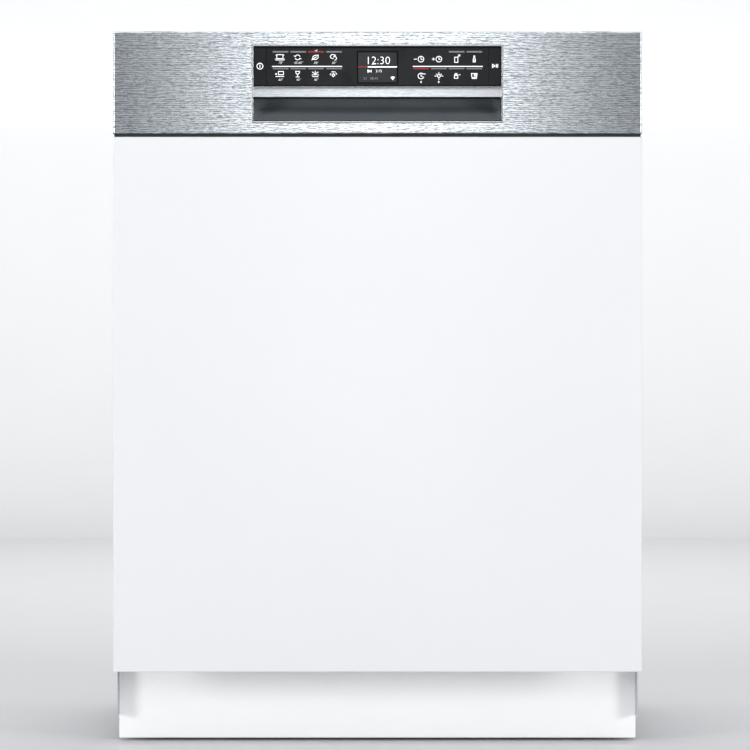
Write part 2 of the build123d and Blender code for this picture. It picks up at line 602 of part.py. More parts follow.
def pumps():
    """The circulation pump with its heater ring, and the drain pump, both against the sump."""
    start = FILTER_X + SUMP_RADIUS + SEAT_GAP
    motor, end = start + HEATER_LENGTH, BASE_HALF - BASE_WALL - MOTOR_GAP
    wash = rod((start, FILTER_Y, WASH_PUMP_Z), (motor, FILTER_Y, WASH_PUMP_Z), WASH_PUMP_RADIUS)
    wash += rod((motor, FILTER_Y, WASH_PUMP_Z), (end, FILTER_Y, WASH_PUMP_Z), MOTOR_RADIUS)
    start = FILTER_Y + SUMP_RADIUS + SEAT_GAP
    motor = start + DRAIN_PUMP_LENGTH
    end = motor + DRAIN_MOTOR_LENGTH
    drain = rod((FILTER_X, start, DRAIN_PUMP_Z), (FILTER_X, motor, DRAIN_PUMP_Z), DRAIN_PUMP_RADIUS)
    drain += rod((FILTER_X, motor, DRAIN_PUMP_Z), (FILTER_X, end, DRAIN_PUMP_Z), DRAIN_MOTOR_RADIUS)
    return [wash, drain]


def fine_filter():
    """The stainless disc that lies over the sump, with a hole for the filter cylinder."""
    z = (TUB_FLOOR_Z + SEAT_GAP, TUB_FLOOR_Z + SEAT_GAP + 1.5)
    disc = rod((FILTER_X, FILTER_Y, z[0]), (FILTER_X, FILTER_Y, z[1]), SUMP_RADIUS + 12)
    hole = FILTER_RADIUS + SEAT_GAP
    return disc - rod((FILTER_X, FILTER_Y, z[0] - 1), (FILTER_X, FILTER_Y, z[1] + 1), hole)


def coarse_filter():
    """The filter cylinder that twists out of the sump, with its cross grip."""
    top = TUB_FLOOR_Z + SEAT_GAP + 1.5 + SEAT_GAP
    body = rod((FILTER_X, FILTER_Y, 62), (FILTER_X, FILTER_Y, top), FILTER_RADIUS)
    body += rod((FILTER_X, FILTER_Y, top), (FILTER_X, FILTER_Y, top + 2), FILTER_RADIUS + 4)
    body -= rod((FILTER_X, FILTER_Y, 65), (FILTER_X, FILTER_Y, top + 3), FILTER_RADIUS - 4)
    reach = FILTER_RADIUS - 2
    grip = (top - 14, top + 6.5)
    body += block((FILTER_X - reach, FILTER_X + reach), (FILTER_Y - 1.5, FILTER_Y + 1.5), grip)
    return body + block((FILTER_X - 1.5, FILTER_X + 1.5), (FILTER_Y - reach, FILTER_Y + reach), grip)


def salt_container():
    """The softener's salt vessel under the tub floor, with its threaded neck."""
    y = (SALT_Y - SALT_VESSEL_FRONT, SALT_Y + SALT_VESSEL_REAR)
    x = (SALT_X - SALT_VESSEL_HALF, SALT_X + SALT_VESSEL_HALF)
    z = (SALT_BOTTOM_Z, TUB_BASE_Z - 2)
    neck = SALT_BOTTOM_Z + 2 * SALT_WALL
    vessel = block(x, y, z)
    vessel += rod((SALT_X, SALT_Y, neck), (SALT_X, SALT_Y, TUB_FLOOR_Z + 2), SALT_NECK_RADIUS)
    hollow = block(*[(low + SALT_WALL, high - SALT_WALL) for low, high in (x, y, z)])
    hollow += rod((SALT_X, SALT_Y, neck + 1), (SALT_X, SALT_Y, TUB_FLOOR_Z + 3), SALT_NECK_RADIUS - 5)
    return vessel - hollow


def salt_cap():
    """The screw cap on the salt vessel, with its grip bar."""
    z = TUB_FLOOR_Z + 2 + SEAT_GAP
    cap = rod((SALT_X, SALT_Y, z), (SALT_X, SALT_Y, z + 3.2), SALT_NECK_RADIUS + 2)
    cap += rod((SALT_X, SALT_Y, z - 7), (SALT_X, SALT_Y, z), SALT_NECK_RADIUS - 5 - SEAT_GAP)
    return cap + block((SALT_X - 30, SALT_X + 30), (SALT_Y - 5, SALT_Y + 5), (z + 3.2, z + 7))


def spray_arm(reach, arm_y, z, bore, bore_depth):
    """A spray arm about a vertical bore: two tapered wings, and a row of jet holes in each."""
    half_root, half_tip = 24.0, 15.0
    edge = [(half_root, -half_root), (reach - half_tip, -half_tip), (reach, -half_tip / 2)]
    right = edge + [(x, -y) for x, y in reversed(edge)]
    outline = Polyline(*right, *[(-x, -y) for x, y in right], close=True)
    arm = extrude(make_face(outline), ARM_BODY)
    arm = fillet(arm.edges().group_by(Axis.Z)[-1], 3)
    for share in (0.3, 0.5, 0.68, 0.84):
        for side in (-1, 1):
            jet = Pos(side * share * reach, side * 5, ARM_BODY) * Cylinder(2, 8)
            arm -= jet
    arm -= Cylinder(bore + RUNNING, bore_depth, align=(Align.CENTER, Align.CENTER, Align.MIN))
    return Pos(0, arm_y, z) * arm


def upper_spray_feed():
    """The duct under the upper rack that carries water from the dock to the spray arm's stub."""
    duct = block((-13, 13), (PUMP_Y, DOCK_Y - 2), (FEED_Z, FEED_Z + FEED_HEIGHT))
    duct += rod((0, PUMP_Y, FEED_Z - 4), (0, PUMP_Y, FEED_Z + FEED_HEIGHT), 16)
    duct += rod((0, PUMP_Y, FEED_Z - 24), (0, PUMP_Y, FEED_Z), FEED_STUB_RADIUS)
    return duct + rod((0, PUMP_Y, FEED_Z - 25), (0, PUMP_Y, FEED_Z - 19), FEED_STUB_RADIUS + 6)


FEED_STUB_RADIUS = 9.0
UPPER_ARM_Z = FEED_Z - 19.0 + SEAT_GAP


# ---------------------------------------------------------------- racks
def basket(half, y, floor_z, rim_z):
    """A welded basket: rim, middle ring, and U-bent wires across and along, with its floor in two layers."""
    bend = 12.0
    top = rim_z - RIM_WIRE / 2 - WELD_GAP - WIRE / 2 + WIRE / 2
    wires = [ring_wire((-half, half), y, rim_z, RIM_WIRE, 24)]
    inset = WIRE + WELD_GAP
    middle_z = floor_z + RING_SHARE * (rim_z - floor_z)
    wires.append(ring_wire((-half + inset, half - inset), (y[0] + inset, y[1] - inset), middle_z, WIRE, 22))
    for wy in spread(y[0] + ACROSS_INSET, y[1] - ACROSS_INSET, ACROSS_WIRES):
        path = [(-half, wy, top), (-half, wy, floor_z), (half, wy, floor_z), (half, wy, top)]
        wires.append(wire(path, WIRE, bend))
    upper = floor_z + inset
    for wx in spread(-half + ALONG_INSET, half - ALONG_INSET, ALONG_WIRES):
        path = [(wx, y[0], top), (wx, y[0], upper), (wx, y[1], upper), (wx, y[1], top)]
        wires.append(wire(path, WIRE, bend))
    return wires


def standing_tines(x, y_middle, floor_z, height):
    """A row of upright tines that stand on the basket's floor wires, with the bar they share."""
    reach = TINE_PITCH * (TINE_COUNT - 1) / 2
    z = floor_z + WIRE / 2 + WELD_GAP + TINE_WIRE / 2
    row = rod((x, y_middle - reach - 8, z), (x, y_middle + reach + 8, z), TINE_WIRE / 2)
    for y in spread(y_middle - reach, y_middle + reach, TINE_COUNT):
        row += rod((x, y, z), (x, y, z + height), TINE_WIRE / 2 - TINE_STEP)
    return row


def lower_basket():
    """The lower basket, with its fixed tines and the four stub axles on its side plates."""
    y = (LOWER_FRONT_Y, LOWER_REAR_Y)
    solids = basket(LOWER_HALF, y, LOWER_FLOOR_Z, LOWER_RIM_Z)
    middle = (y[0] + y[1]) / 2
    for x in (-FIXED_TINE_X, FIXED_TINE_X):
        solids.append(standing_tines(x, middle, LOWER_FLOOR_Z, TINE_HEIGHT))
    plate_x = LOWER_HALF + WIRE / 2 + WELD_GAP
    for wheel_y in (FRONT_WHEEL_Y, REAR_WHEEL_Y):
        for side in (-1, 1):
            x = sorted((side * plate_x, side * (WHEEL_INNER_X - 1)))
            plate = block(x, (wheel_y - 26, wheel_y + 26), (WHEEL_Z - 8, WHEEL_Z + 44))
            end = side * (WHEEL_INNER_X + WHEEL_WIDTH + 0.5)
            axle = rod((side * plate_x, wheel_y, WHEEL_Z), (end, wheel_y, WHEEL_Z), AXLE_RADIUS)
            solids.append(plate + axle)
    return solids


def wheel(side, y):
    """A rack wheel with a dished face, on its stub axle."""
    x = sorted((side * WHEEL_INNER_X, side * (WHEEL_INNER_X + WHEEL_WIDTH)))
    disc = rod((x[0], y, WHEEL_Z), (x[1], y, WHEEL_Z), WHEEL_RADIUS)
    face = x[1] if side > 0 else x[0]
    disc -= rod((face - 2 * side, y, WHEEL_Z), (face + side, y, WHEEL_Z), WHEEL_RADIUS - 4)
    return disc - rod((x[0] - 1, y, WHEEL_Z), (x[1] + 1, y, WHEEL_Z), AXLE_RADIUS + RUNNING)


def folding_tines(x):
    """A row of tines on its own bar, which folds flat towards the middle."""
    middle = (LOWER_FRONT_Y + LOWER_REAR_Y) / 2
    return standing_tines(x, middle, LOWER_FLOOR_Z + SEAT_GAP, TINE_HEIGHT)


def upper_basket():
    """The upper basket with two fixed rows of low tines."""
    y = (UPPER_FRONT_Y, UPPER_REAR_Y)
    solids = basket(UPPER_HALF, y, UPPER_FLOOR_Z, UPPER_RIM_Z)
    for x in (-UPPER_TINE_X, UPPER_TINE_X):
        solids.append(standing_tines(x, (y[0] + y[1]) / 2, UPPER_FLOOR_Z, UPPER_TINE_HEIGHT))
    return solids


def cup_shelf(side):
    """A slotted shelf that folds up against the basket's side."""
    y_middle = (UPPER_FRONT_Y + UPPER_REAR_Y) / 2
    y = (y_middle - SHELF_LENGTH / 2, y_middle + SHELF_LENGTH / 2)
    inner = SHELF_HINGE_X - SHELF_WIDTH
    shelf = block((inner, SHELF_HINGE_X), y, (SHELF_Z - SHELF_THICKNESS / 2, SHELF_Z + SHELF_THICKNESS / 2))
    x, z = (inner + 10, SHELF_HINGE_X - 12), (SHELF_Z - SHELF_THICKNESS, SHELF_Z + SHELF_THICKNESS)
    for slot_y in spread(y[0] + 20, y[1] - 20, 9):
        shelf -= block(x, (slot_y - 11, slot_y + 11), z)
    shelf += rod((SHELF_HINGE_X, y[0], SHELF_Z), (SHELF_HINGE_X, y[1], SHELF_Z), 3)
    return shelf if side > 0 else mirror(shelf, about=Plane.YZ)


def channel_rail(outer_x, height, depth, y):
    """A C-section rail with its web at outer_x and its lips towards the middle."""
    z = (RAIL_Z - height / 2, RAIL_Z + height / 2)
    rail = block((outer_x - depth, outer_x), y, z)
    inside = (z[0] + RAIL_SHEET, z[1] - RAIL_SHEET)
    return rail - block((outer_x - depth - 1, outer_x - RAIL_SHEET), (y[0] - 1, y[1] + 1), inside)


def rail_y():
    """The rails' front and rear ends."""
    start = TUB_FRONT_Y + 16
    return (start, start + RAIL_LENGTH)


def fixed_rails():
    """The rails on the tub's side walls: C-sections for the upper rack, and guides for the tray."""
    outer = channel_rail(TUB_INNER_HALF, RAIL_HEIGHT, RAIL_DEPTH, rail_y())
    y = (TRAY_FRONT_Y, TRAY_REAR_Y)
    under = TRAY_RUNNER_Z - SEAT_GAP
    over = TRAY_RUNNER_Z + RUNNER_THICKNESS + SEAT_GAP
    x = (TRAY_HALF + 4, TUB_INNER_HALF)
    guide = block(x, y, (under - TRAY_RAIL_SHEET, over + TRAY_RAIL_SHEET))
    guide -= block((x[0] - 1, TUB_INNER_HALF - TRAY_RAIL_SHEET), (y[0] - 1, y[1] + 1), (under, over))
    return [outer, mirror(outer, about=Plane.YZ), guide, mirror(guide, about=Plane.YZ)]


def middle_rails():
    """The telescopic rails' middle members."""
    rail = channel_rail(TUB_INNER_HALF - RAIL_STEP, RAIL_HEIGHT - 2 * RAIL_STEP, RAIL_DEPTH, rail_y())
    return [rail, mirror(rail, about=Plane.YZ)]


def inner_rails():
    """The telescopic rails' inner members, with the plates that carry the upper basket."""
    x = TUB_INNER_HALF - 2 * RAIL_STEP
    rail = channel_rail(x, RAIL_HEIGHT - 4 * RAIL_STEP, RAIL_DEPTH, rail_y())
    plate_x = UPPER_HALF + RIM_WIRE / 2 + WELD_GAP
    for y in (UPPER_FRONT_Y + RAIL_PLATE_INSET, UPPER_REAR_Y - RAIL_PLATE_INSET - RAIL_PLATE_LENGTH):
        span = (y, y + RAIL_PLATE_LENGTH)
        z = (RAIL_Z - RAIL_PLATE_DROP, RAIL_Z + 2 * RAIL_PLATE)
        rail += block((plate_x, plate_x + RAIL_PLATE), span, z)
        rail += block((plate_x, x - RAIL_SHEET / 2), span, (RAIL_Z - RAIL_PLATE, RAIL_Z + RAIL_PLATE))
    return [rail, mirror(rail, about=Plane.YZ)]


TRAY_RUNNER_Z = TRAY_Z + 20.0


def cutlery_tray():
    """The flat tray under the ceiling, with a slotted floor, cutlery ribs and side runners."""
    y = (TRAY_FRONT_Y, TRAY_REAR_Y)
    x = (-TRAY_HALF, TRAY_HALF)
    tray = block(x, y, (TRAY_Z, TRAY_Z + TRAY_HEIGHT))
    wall = MOULDING
    inside = ((x[0] + wall, x[1] - wall), (y[0] + wall, y[1] - wall))
    tray -= block(*inside, (TRAY_Z + wall, TRAY_Z + TRAY_HEIGHT + 1))
    pitch = 34.0
    count = int((2 * TRAY_HALF - 20) // pitch)
    slots = spread(-pitch * (count - 1) / 2, pitch * (count - 1) / 2, count)
    rows = spread(y[0] + 12, y[1] - 12, 5)
    for sx in slots:
        for start, end in zip(rows, rows[1:]):
            tray -= block((sx - 12, sx + 12), (start + 4, end - 4), (TRAY_Z - 1, TRAY_Z + wall + 1))
    for i in (1, count // 2, count - 1):
        rib = (slots[i - 1] + slots[i]) / 2
        tray += block((rib - 1.5, rib + 1.5), y, (TRAY_Z, TRAY_Z + 22))
    reach = (TRAY_HALF - wall, TRAY_HALF + RUNNER_REACH - 1)
    runner = both_sides(reach, y, (TRAY_RUNNER_Z, TRAY_RUNNER_Z + RUNNER_THICKNESS))
    return tray + runner


# ---------------------------------------------------------------- door
def outer_door_sheet():
    """The sheet behind the furniture front, bent back along both sides."""
    front = (PANEL_BACK_Y, PANEL_BACK_Y + SHEET)
    sheet = block((-OUTER_SHEET_HALF, OUTER_SHEET_HALF), front, (DOOR_SHEET_BOTTOM_Z, PANEL_TOP_Z + 1))
    side = (OUTER_SHEET_HALF - SHEET, OUTER_SHEET_HALF)
    return sheet + both_sides(side, (front[0], DOOR_FACE_Y - 12), (DOOR_BOTTOM_Z, PANEL_TOP_Z + 1))


def inner_door_panel():
    """The pressed sheet that faces the tub, with the rack's rolling ledges and its cut-outs."""
    y = (DOOR_FACE_Y - SHEET, DOOR_FACE_Y)
    half = INNER_SHEET_HALF
    z = (DOOR_BOTTOM_Z, DOOR_TOP_Z)
    panel = block((-half, half), y, z)
    panel += both_sides((half - SHEET, half), (DOOR_FACE_Y - 34, DOOR_FACE_Y), z)
    panel += block((-half, half), (PANEL_BACK_Y + 8, DOOR_FACE_Y), (z[1] - SHEET, z[1]))
    panel += block((-BRACKET_INNER_X, BRACKET_INNER_X), (PANEL_BACK_Y + 3, DOOR_FACE_Y), (z[0], z[0] + SHEET))
    ledge_x = (TUB_INNER_HALF - LEDGE_WIDTH + 1, TUB_INNER_HALF - 2)
    ledge_z = (SILL_Z + 10, SILL_Z + 430)
    rise = LEDGE_TOP_Z - HINGE_Z - (DOOR_FACE_Y - HINGE_Y)
    panel += both_sides(ledge_x, (y[0], y[1] + rise), ledge_z)
    hollow_x = (ledge_x[0] + SHEET, ledge_x[1] - SHEET)
    hollow_z = (ledge_z[0] + SHEET, ledge_z[1] - SHEET)
    panel -= both_sides(hollow_x, (y[0] - 1, y[1] + rise - SHEET), hollow_z)
    x0, z0 = DISPENSER_LEFT_X + 6, DISPENSER_BOTTOM_Z + 6
    hole_x = (x0, x0 + DISPENSER_WIDTH - 12)
    panel -= block(hole_x, (y[0] - 1, y[1] + 1), (z0, z0 + DISPENSER_HEIGHT - 12))
    panel -= block((-12, 12), (y[0] - 1, y[1] + 1), (STRIKER_Z - 5, STRIKER_Z + 5))
    for x, sz in screw_places():
        panel -= rod((x, y[0] - 1, sz), (x, y[1] + 1, sz), SCREW_RADIUS + RUNNING)
    return panel


SCREW_RADIUS = 1.8
SCREW_HEAD_RADIUS = 2.8


def screw_places():
    """Where the door's inner sheet is screwed to its frame, beside the seal."""
    x = (SEAL_INNER_X + SEAL_WIDTH + INNER_SHEET_HALF) / 2 + 0.6
    return [(side * x, z) for z in spread(HINGE_Z + 80, DOOR_TOP_Z - 26, 4) for side in (-1, 1)]


def door_screws():
    """The pan-head screws down both edges of the inner sheet."""
    screws = []
    for x, z in screw_places():
        head = rod((x, DOOR_FACE_Y, z), (x, DOOR_FACE_Y + 1.8, z), SCREW_HEAD_RADIUS)
        head += rod((x, DOOR_FACE_Y - 9, z), (x, DOOR_FACE_Y, z), SCREW_RADIUS)
        screws.append(head)
    return screws


def furniture_front():
    """The lacquered furniture board on the door, with softened edges."""
    board = block((-FRONT_HALF, FRONT_HALF), (FACE_Y, PANEL_BACK_Y), (PANEL_BOTTOM_Z, PANEL_TOP_Z))
    return fillet(board.edges().group_by(Axis.Y)[0], PANEL_EDGE_RADIUS)


def fascia_plate():
    """The bent metal face above the furniture front, open for the inlay."""
    z = (FASCIA_BOTTOM_Z, FASCIA_TOP_Z)
    plate = block((-FRONT_HALF, FRONT_HALF), (FACE_Y, PANEL_BACK_Y), z)
    plate = fillet(plate.edges().group_by(Axis.Y)[0], FASCIA_EDGE_RADIUS)
    inner = FRONT_HALF - FASCIA_SHEET
    inner_z = (z[0] + FASCIA_SHEET, z[1] - FASCIA_SHEET)
    plate -= block((-inner, inner), (FACE_Y + FASCIA_SHEET, PANEL_BACK_Y + 1), inner_z)
    inlay = ((-INLAY_HALF, INLAY_HALF), (INLAY_BOTTOM_Z, INLAY_TOP_Z))
    opening = plate_xz(*inlay, (FACE_Y - 1, FACE_Y + 2), 1.5)
    return plate - opening


def fascia_carrier():
    """The moulded frame behind the fascia plate, with walls that close the door's top."""
    half = FRONT_HALF - FASCIA_SHEET - 0.2
    z = (FASCIA_BOTTOM_Z + FASCIA_SHEET + 0.2, FASCIA_TOP_Z - FASCIA_SHEET - 0.2)
    front = (FACE_Y + FASCIA_SHEET, FACE_Y + FASCIA_SHEET + MOULDING)
    carrier = block((-half, half), (front[0], PANEL_BACK_Y), z)
    inside = (z[0] + MOULDING, z[1] - MOULDING)
    carrier -= block((-half + MOULDING, half - MOULDING), (front[1], PANEL_BACK_Y + 1), inside)
    side = (INNER_SHEET_HALF + 0.5, INNER_SHEET_HALF + 0.5 + MOULDING)
    carrier += both_sides(side, (front[1], DOOR_FACE_Y - 4), z)
    carrier += block((-side[1], side[1]), (front[1], DOOR_FACE_Y - 4), (DOOR_TOP_Z + SEAT_GAP, z[1]))
    clear = 0.2
    x = (-INLAY_HALF - clear, INLAY_HALF + clear)
    return carrier - block(x, (front[0] - 1, front[1] + 1), (INLAY_BOTTOM_Z - clear, INLAY_TOP_Z + clear))


def grip_strip():
    """The bright frame around the inlay, in one with the curved strip that the fingers pull."""
    y = (FRONT_Y, FRONT_Y + TRIM_DEPTH)
    frame = plate_xz((-INLAY_HALF, INLAY_HALF), (INLAY_BOTTOM_Z, INLAY_TOP_Z), y, 1.5)
    inner = INLAY_HALF - TRIM_WIDTH
    inner_z = (INLAY_BOTTOM_Z + TRIM_WIDTH, INLAY_TOP_Z - TRIM_TOP_WIDTH)
    frame -= plate_xz((-inner, inner), inner_z, (y[0] - 1, y[1] + 1), 0.4)
    back = FACE_Y + GRIP_THICKNESS
    bulge = ThreePointArc(
        (FACE_Y + 3.6, GRIP_TOP_Z),
        (FACE_Y + 0.95, GRIP_TOP_Z - 0.5 * GRIP_HEIGHT),
        (FACE_Y + 0.2, GRIP_BOTTOM_Z + 2.4))
    nose = ThreePointArc(bulge @ 1, (FACE_Y + 0.9, GRIP_BOTTOM_Z + 0.7), (FACE_Y + 2.6, GRIP_BOTTOM_Z))
    rest = Polyline(nose @ 1, (back, GRIP_BOTTOM_Z), (back, GRIP_TOP_Z), bulge @ 0)
    section = make_face(Wire([bulge, nose] + rest.edges()))
    strip = extrude(Plane.YZ.offset(-inner - 0.2) * section, 2 * inner + 0.4)
    return frame + strip


def pocket_outline(grow):
    """The grip pocket's section: a sloping floor, a rear wall and a hollow behind the strip."""
    front = FACE_Y + FASCIA_SHEET
    floor_z = INLAY_BOTTOM_Z + TRIM_WIDTH + POCKET_WALL - grow
    rear = FACE_Y + POCKET_DEPTH + grow
    strip_back = FACE_Y + GRIP_THICKNESS + POCKET_WALL - grow
    roof = GRIP_TOP_Z - POCKET_WALL + grow
    slope_y, slope_z = 21.0, 13.5
    return [
        (front, floor_z), (front + slope_y + grow * 0.5, floor_z + slope_z - grow * 0.3),
        (rear - 5, floor_z + slope_z + 2.2), (rear, floor_z + slope_z + 7),
        (rear, roof - 3), (rear - 3, roof),
        (strip_back + 3 - grow, roof), (strip_back, roof - 3 + grow),
        (strip_back, GRIP_BOTTOM_Z), (front, GRIP_BOTTOM_Z),
    ]


def grip_pocket():
    """The moulded recess under the strip that the fingers reach into."""
    shell = prism_yz(pocket_outline(POCKET_WALL), (-POCKET_HALF, POCKET_HALF))
    inner = POCKET_HALF - POCKET_WALL
    return shell - prism_yz(pocket_outline(0.0), (-inner, inner))


def touch_panel():
    """The dark glass with the programme fields, open for the display."""
    x = (-KEY_INNER_X + KEY_GAP, KEY_INNER_X - KEY_GAP)
    glass = block(x, (GLASS_Y, GLASS_Y + GLASS_THICKNESS), (GLASS_BOTTOM_Z, GLASS_TOP_Z))
    glass = fillet(glass.edges().group_by(Axis.Y)[0], 0.4)
    grow = DISPLAY_FIT
    x = (-DISPLAY_WIDTH / 2 - grow, DISPLAY_WIDTH / 2 + grow)
    low, high = display_z()
    return glass - block(x, (GLASS_Y - 1, GLASS_Y + GLASS_THICKNESS + 1), (low - grow, high + grow))


def display_z():
    """The display window's lower and upper edge."""
    top = GLASS_TOP_Z - DISPLAY_TOP_GAP
    return (top - DISPLAY_HEIGHT, top)


def display_window():
    """The display's own window, set a little back in the glass."""
    x = (-DISPLAY_WIDTH / 2, DISPLAY_WIDTH / 2)
    return block(x, (GLASS_Y + 0.4, GLASS_Y + GLASS_THICKNESS), display_z())


def end_key(side):
    """A push key at one end of the glass, with the stem that works its switch."""
    x = sorted((side * KEY_INNER_X, side * KEY_OUTER_X))
    key = block(x, (GLASS_Y, GLASS_Y + GLASS_THICKNESS), (GLASS_BOTTOM_Z, GLASS_TOP_Z))
    return fillet(key.edges().group_by(Axis.Y)[0], 0.6)


def control_module():
    """The electronics housing behind the glass and the keys."""
    front = GLASS_Y + GLASS_THICKNESS
    x = KEY_OUTER_X - 2
    box = block((-x, x), (front + KEY_TRAVEL + SEAT_GAP, front + 30), (GRIP_TOP_Z + 3.5, GLASS_TOP_Z - 2))
    reach = (front, front + KEY_TRAVEL + 1)
    for spacer in (-90, -40, 40, 90):
        box += block((spacer - 4, spacer + 4), reach, (GRIP_TOP_Z + 10, GLASS_TOP_Z - 10))
    return box


def door_lock():
    """The lock in the door's top, with the mouth that takes the striker."""
    y = (FRAME_Y - 40, DOOR_FACE_Y - SHEET)
    housing = block((-28, 28), y, (STRIKER_Z - 10, DOOR_TOP_Z - SHEET))
    return housing - block((-13, 13), (FRAME_Y - 30, y[1] + 1), (STRIKER_Z - 5.5, STRIKER_Z + 5))


def dispenser_body():
    """The dispenser set into the inner sheet, with its detergent chamber and rinse aid filler."""
    x = (DISPENSER_LEFT_X, DISPENSER_LEFT_X + DISPENSER_WIDTH)
    z = (DISPENSER_BOTTOM_Z, DISPENSER_BOTTOM_Z + DISPENSER_HEIGHT)
    front = (DOOR_FACE_Y, DOOR_FACE_Y + DISPENSER_PROUD)
    body = fillet(block(x, front, z).edges().group_by(Axis.Y)[-1], 2)
    inner = [(low + 6.3, high - 6.3) for low, high in (x, z)]
    body += block(inner[0], (DOOR_FACE_Y - DISPENSER_DEPTH, front[0]), inner[1])
    body -= block(chamber_x(), (front[1] - CHAMBER_DEPTH, front[1] + 1), chamber_z())
    cx, cz = cap_place()
    return body - rod((cx, front[1] - 20, cz), (cx, front[1] + 1, cz), FILLER_RADIUS)


FILLER_RADIUS = 11.0


def chamber_x():
    """The detergent chamber's sides."""
    start = DISPENSER_LEFT_X + 14
    return (start, start + CHAMBER_WIDTH)


def chamber_z():
    """The detergent chamber's floor and roof."""
    start = DISPENSER_BOTTOM_Z + 20
    return (start, start + CHAMBER_HEIGHT)


def cap_place():
    """The middle of the rinse aid cap."""
    return (DISPENSER_LEFT_X + DISPENSER_WIDTH - 21, DISPENSER_BOTTOM_Z + 36)


def detergent_lid():
    """The lid that slides off the detergent chamber, with a finger ridge."""
    start = DOOR_FACE_Y + DISPENSER_PROUD + SEAT_GAP
    x, z = chamber_x(), chamber_z()
    grow = LID_MARGIN
    lid = block((x[0] - grow, x[1] + grow), (start, start + LID_THICKNESS), (z[0] - grow, z[1] + grow))
    lid = fillet(lid.edges().group_by(Axis.Y)[-1], 1)
    return lid + block((x[0] + 4, x[0] + 10), (start, start + LID_THICKNESS + 2), (z[0] + 12, z[1] - 12))


def rinse_aid_cap():
    """The flap over the rinse aid filler, hinged along its lower edge."""
    start = DOOR_FACE_Y + DISPENSER_PROUD + SEAT_GAP
    x, z = cap_place()
    half = CAP_SIZE / 2
    flap = block((x - half, x + half), (start, start + LID_THICKNESS), (z - half, z + half))
    flap = fillet(flap.edges().group_by(Axis.Y)[-1], 1)
    knuckle_y = start + LID_THICKNESS / 2
    return flap + rod((x - half, knuckle_y, z - half), (x + half, knuckle_y, z - half), LID_THICKNESS / 2)


# ---------------------------------------------------------------- hinges
def hinge_brackets():
    """The plates on the base that carry the door's hinge pins."""
    x = (BRACKET_INNER_X, BRACKET_INNER_X + BRACKET_THICKNESS)
    plate = block(x, (HINGE_Y, BASE_FRONT_Y + 40), (HINGE_Z - 22, HINGE_Z + 10))
    plate -= block((x[0] - 1, x[1] + 1), (HINGE_Y - 1, HINGE_Y + 8), (HINGE_Z - 23, HINGE_Z - 10))
    plate += rod((x[0], HINGE_Y, HINGE_Z), (x[1], HINGE_Y, HINGE_Z), 10)
    end = ARM_INNER_X + ARM_THICKNESS + 0.5
    plate += rod((x[0], HINGE_Y, HINGE_Z), (end + 2, HINGE_Y, HINGE_Z), HINGE_PIN_RADIUS)
    plate += rod((end, HINGE_Y, HINGE_Z), (end + 2, HINGE_Y, HINGE_Z), HINGE_PIN_RADIUS + 2)
    return [plate, mirror(plate, about=Plane.YZ)]


def hinge_arms():
    """The arms inside the door's sides that turn on the pins, with their spring levers."""
    x = (ARM_INNER_X, ARM_INNER_X + ARM_THICKNESS)
    y0, z0 = HINGE_Y, HINGE_Z
    back = PANEL_BACK_Y + 6
    arm = block(x, (back, back + 30), (z0 + 30, z0 + 130))
    arm += prism_yz([(y0 - 9, z0 - 3), (y0 + 7, z0 + 3), (back + 30, z0 + 32), (back, z0 + 32)], x)
    arm += rod((x[0], y0, z0), (x[1], y0, z0), 10)
    length = math.hypot(LEVER_Y, LEVER_Z)
    along = (LEVER_Y / length, LEVER_Z / length)
    across = (-along[1] * LEVER_EYE_RADIUS, along[0] * LEVER_EYE_RADIUS)
    eye = (y0 + LEVER_Y, z0 + LEVER_Z)
    lever = [
        (y0 + across[0], z0 + across[1]), (y0 - across[0], z0 - across[1]),
        (eye[0] - across[0], eye[1] - across[1]), (eye[0] + across[0], eye[1] + across[1]),
    ]
    arm += prism_yz(lever, x) + rod((x[0], *eye), (x[1], *eye), LEVER_EYE_RADIUS)
    arm -= rod((x[0] - 1, y0, z0), (x[1] + 1, y0, z0), HINGE_PIN_RADIUS + RUNNING)
    arm -= rod((x[0] - 1, *eye), (x[1] + 1, *eye), SPRING_EYE_RADIUS)
    return [arm, mirror(arm, about=Plane.YZ)]


def door_spring():
    """A close-wound extension spring from the lever's eye to the base, with a hook at each end."""
    start = Vector(ARM_MIDDLE_X, HINGE_Y + LEVER_Y, HINGE_Z + LEVER_Z)
    end = Vector(ARM_MIDDLE_X, SPRING_ANCHOR_Y, SPRING_ANCHOR_Z)
    line = (end - start).normalized()
    coil_length = 0.62 * (end - start).length
    turns = int(coil_length // SPRING_WIRE)
    first = ((end - start).length - turns * SPRING_WIRE) / 2
    root = SPRING_RADIUS - SPRING_WIRE / 2
    curves = [Line((0, first), (root, first))]
    for i in range(turns):
        low, high = first + i * SPRING_WIRE, first + (i + 1) * SPRING_WIRE
        curves.append(ThreePointArc((root, low), (SPRING_RADIUS, (low + high) / 2), (root, high)))
    top = first + turns * SPRING_WIRE
    curves += [Line((root, top), (0, top)), Line((0, top), (0, first))]
    profile = make_face(Wire(curves))
    place = Plane(origin=start, x_dir=(1, 0, 0), z_dir=line)
    coil = place * revolve(Plane.XZ * profile, Axis.Z)
    thick = SPRING_WIRE / 2
    eye_middle = start + line * (LEVER_EYE_RADIUS + SPRING_EYE_RADIUS) / 2
    across = line.cross(Vector(1, 0, 0))
    coil += Plane(origin=eye_middle, x_dir=line, z_dir=across) * Torus(SPRING_RING, thick)
    coil += rod(tuple(eye_middle + line * SPRING_RING), tuple(start + line * (first + 1)), thick)
    coil += Plane(origin=end, x_dir=(0, 1, 0), z_dir=(1, 0, 0)) * Torus(SPRING_RING, thick)
    return coil + rod(tuple(end - line * SPRING_RING), tuple(end - line * (first + 1)), thick)


def door_springs():
    """The pair of door springs."""
    spring = door_spring()
    return [spring, mirror(spring, about=Plane.YZ)]


